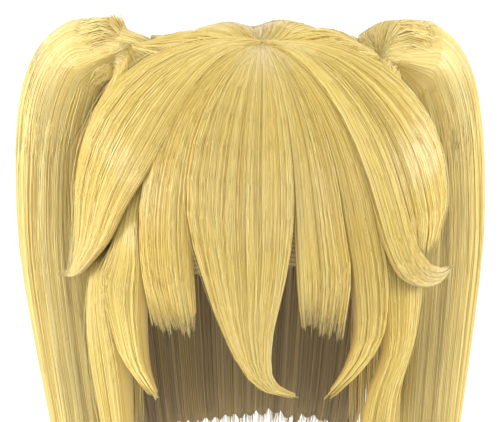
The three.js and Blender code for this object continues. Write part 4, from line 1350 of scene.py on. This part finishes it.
def hem_strands(side, strands=300, stations=7):
    """Strands on the base coat from 72% of the way to the hairline to a little past it, drifting back."""
    random = np.random.default_rng(60 + side)
    azimuth = np.linspace(50, 122, strands) + random.normal(0, 0.5, strands)
    hem = hairline(azimuth)
    tip = hem + random.uniform(-0.03, 0.12, strands)
    way = mix(0.72 * hem[:, None], tip[:, None], np.linspace(0, 1, stations))
    depth = mix(BASE_DEPTH, 0.16, ease((way - hem[:, None] + 0.1) / 0.2))
    drift = 3 * np.linspace(0, 1, stations) ** 2 * random.uniform(0, 1, strands)[:, None]
    paths = on_head(side * (azimuth[:, None] + drift), way, depth, 0.0005)
    return hair_piece(
        random, f"hem_{SIDE_NAMES[side]}_strands", paths, 0.00026, azimuth / 20, gold_strand, 0.3,
    )


for side in SIDE_NAMES:
    hem = hem_strands(side)
    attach(hem, "root")

# %% [markdown]
# ## The thin wisp inside the left face lock
#
# A slim, pale wisp hangs just inside the face lock. It is a small bundle of strands along one curve, told in
# the head's own directions.

# %%
WISP = ((0.98, -54, 0.3), (1.1, -55, 0.42), (1.2, -54.5, 0.5), (1.3, -51.5, 0.52), (1.39, -48, 0.5))


def wisp_strands(strands=46, stations=14):
    """Strands beside one path of (along, azimuth, depth); the bundle's width falls to a third at the tip."""
    random = np.random.default_rng(71)
    path = smooth_rows(WISP, np.linspace(0, 1, stations))
    wide = mix(1, 0.3, np.linspace(0, 1, stations))
    beside = random.normal(0, 0.45, strands)[:, None] * wide
    deeper = random.normal(0, 0.03, strands)[:, None] * wide
    reach = 1 - 0.05 * random.uniform(0, 1, strands)[:, None]
    paths = on_head(path[:, 1] + beside, 0.98 + (path[:, 0] - 0.98) * reach, path[:, 2] + deeper)
    return hair_piece(
        random, "face_wisp_left_strands", paths, 0.0002, beside[:, 0], pale_strand, 0.75,
    )


wisp = wisp_strands()
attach(wisp, "root")

# %% [markdown]
# ## Nape hair
#
# Behind the face locks hangs the hair of the nape, in the shade of everything above it. It is bare strands,
# which hang straight down from the cap's edge.

# %%
def nape_strands(side, strands=320):
    """Strands from the cap's hem between azimuths 97 and 128, down to the back hair's foot."""
    random = np.random.default_rng(40 + side)
    azimuth = np.linspace(97, 128, strands) + random.normal(0, 0.6, strands)
    depth = random.uniform(0.0, 0.26, strands)
    foot = random.uniform(1.72, 1.95, strands)
    way = mix(1.0, foot[:, None], np.linspace(0, 1, 6))
    inward = 0.12 * ease((way - 1) / 0.9)
    paths = on_head(side * azimuth[:, None], way, depth[:, None] - inward)
    # A tone of 0.22, well below the middle, is painted shade under the hair above.
    return hair_piece(
        random, f"nape_{SIDE_NAMES[side]}_strands", paths, 0.0003, azimuth / 20, gold_strand, 0.22,
    )


for side in SIDE_NAMES:
    nape = nape_strands(side)
    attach(nape, "root")

# %% [markdown]
# ## The tuft
#
# Behind the left tie a few short ends escape and stand up. They fan out from one spot and thin to nothing.

# %%
def tuft_strands(strands=90, stations=10):
    """Strands from the top of the left elastic, up and a little outwards, each with its own tilt and bend."""
    random = np.random.default_rng(8)
    seat, normal = seat_of("left")
    up = unit(np.array((0.0, 0.0, 1.0)) - normal[2] * normal)
    sideways = np.cross(up, normal)
    root = seat + normal * 0.0125 + up * 0.0105
    spread = random.normal(0, 1, (strands, 2))
    length = 0.0145 * random.uniform(0.45, 1, strands)
    share = np.linspace(0, 1, stations)[None, :, None]
    tilt = 0.12 * spread[:, :1] * sideways + 0.14 * spread[:, 1:] * normal
    heading = unit(np.array((-0.55, 0.1, 0.85)) + tilt)
    bend = 0.2 * spread[:, 1:] * sideways + 0.1 * normal
    start = root + 0.0022 * spread[:, :1] * sideways + 0.0009 * spread[:, 1:] * normal - 0.004 * up
    paths = start[:, None] + length[:, None, None] * (share * heading[:, None] + share ** 2 * bend[:, None])
    return hair_piece(
        random, "tuft_left_strands", paths, 0.00022, spread[:, 0] * 0.1, gold_strand, 0.4,
    )


tuft = tuft_strands()
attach(tuft, "root")
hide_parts("tuft_left")

# %% [markdown]
# ## Flyaways
#
# A few loose fibres leave the sheets, cross them at a slant and catch the light. They are thinner than the
# rest and stand off by a few millimetres in one long arc.

# %%
LOOSE = {
    "fringe_left": 14, "fringe_center": 34, "fringe_right": 12, "face_lock_right": 8, "face_lock_left": 8,
    "swept_lock_left": 26, "swept_lock_right": 10, "cheek_lock_right": 20, "side_lock_left": 8,
    "side_lock_right": 8, "back_hair": 50,
}


def loose_strands(name, count):
    """Paths that start on a lock, stand off it by an arc, and drift a few degrees across it."""
    random = np.random.default_rng(sum(map(ord, name)) + 1)
    rows = from_whorl(LOCKS[name])
    way_of = crest_shares(rows)
    share = np.linspace(0, 1, 14)
    start = random.uniform(0.02, 0.6, count)[:, None]
    v = mix(start, np.minimum(start + random.uniform(0.2, 0.6, count)[:, None], 1), share)
    t = random.uniform(0.03, 0.97, count)[:, None] + random.normal(0, 0.1, count)[:, None] * share ** 1.5
    arc = random.uniform(0.0006, 0.0028, count)[:, None] * np.sin(np.pi * share) ** 0.8
    end = random.uniform(0, 0.0025, count)[:, None] * share ** 4
    return lock_skin(rows, EDGES[name], way_of, v, np.clip(t, 0, 1), arc + end + 0.0003)


paths = np.concatenate([loose_strands(name, count) for name, count in LOOSE.items()])
random = np.random.default_rng(99)
# Tones from 0.5 to 1, lighter than the rest, are a painted highlight for the light these fibres catch.
flyaways = strand_piece(
    "flyaways", paths, 0.00009 * random.uniform(0.8, 1.2, len(paths)), random.uniform(0, 5, len(paths)),
    random.uniform(0.5, 1, len(paths)), gold_strand,
)
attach(flyaways, "root")
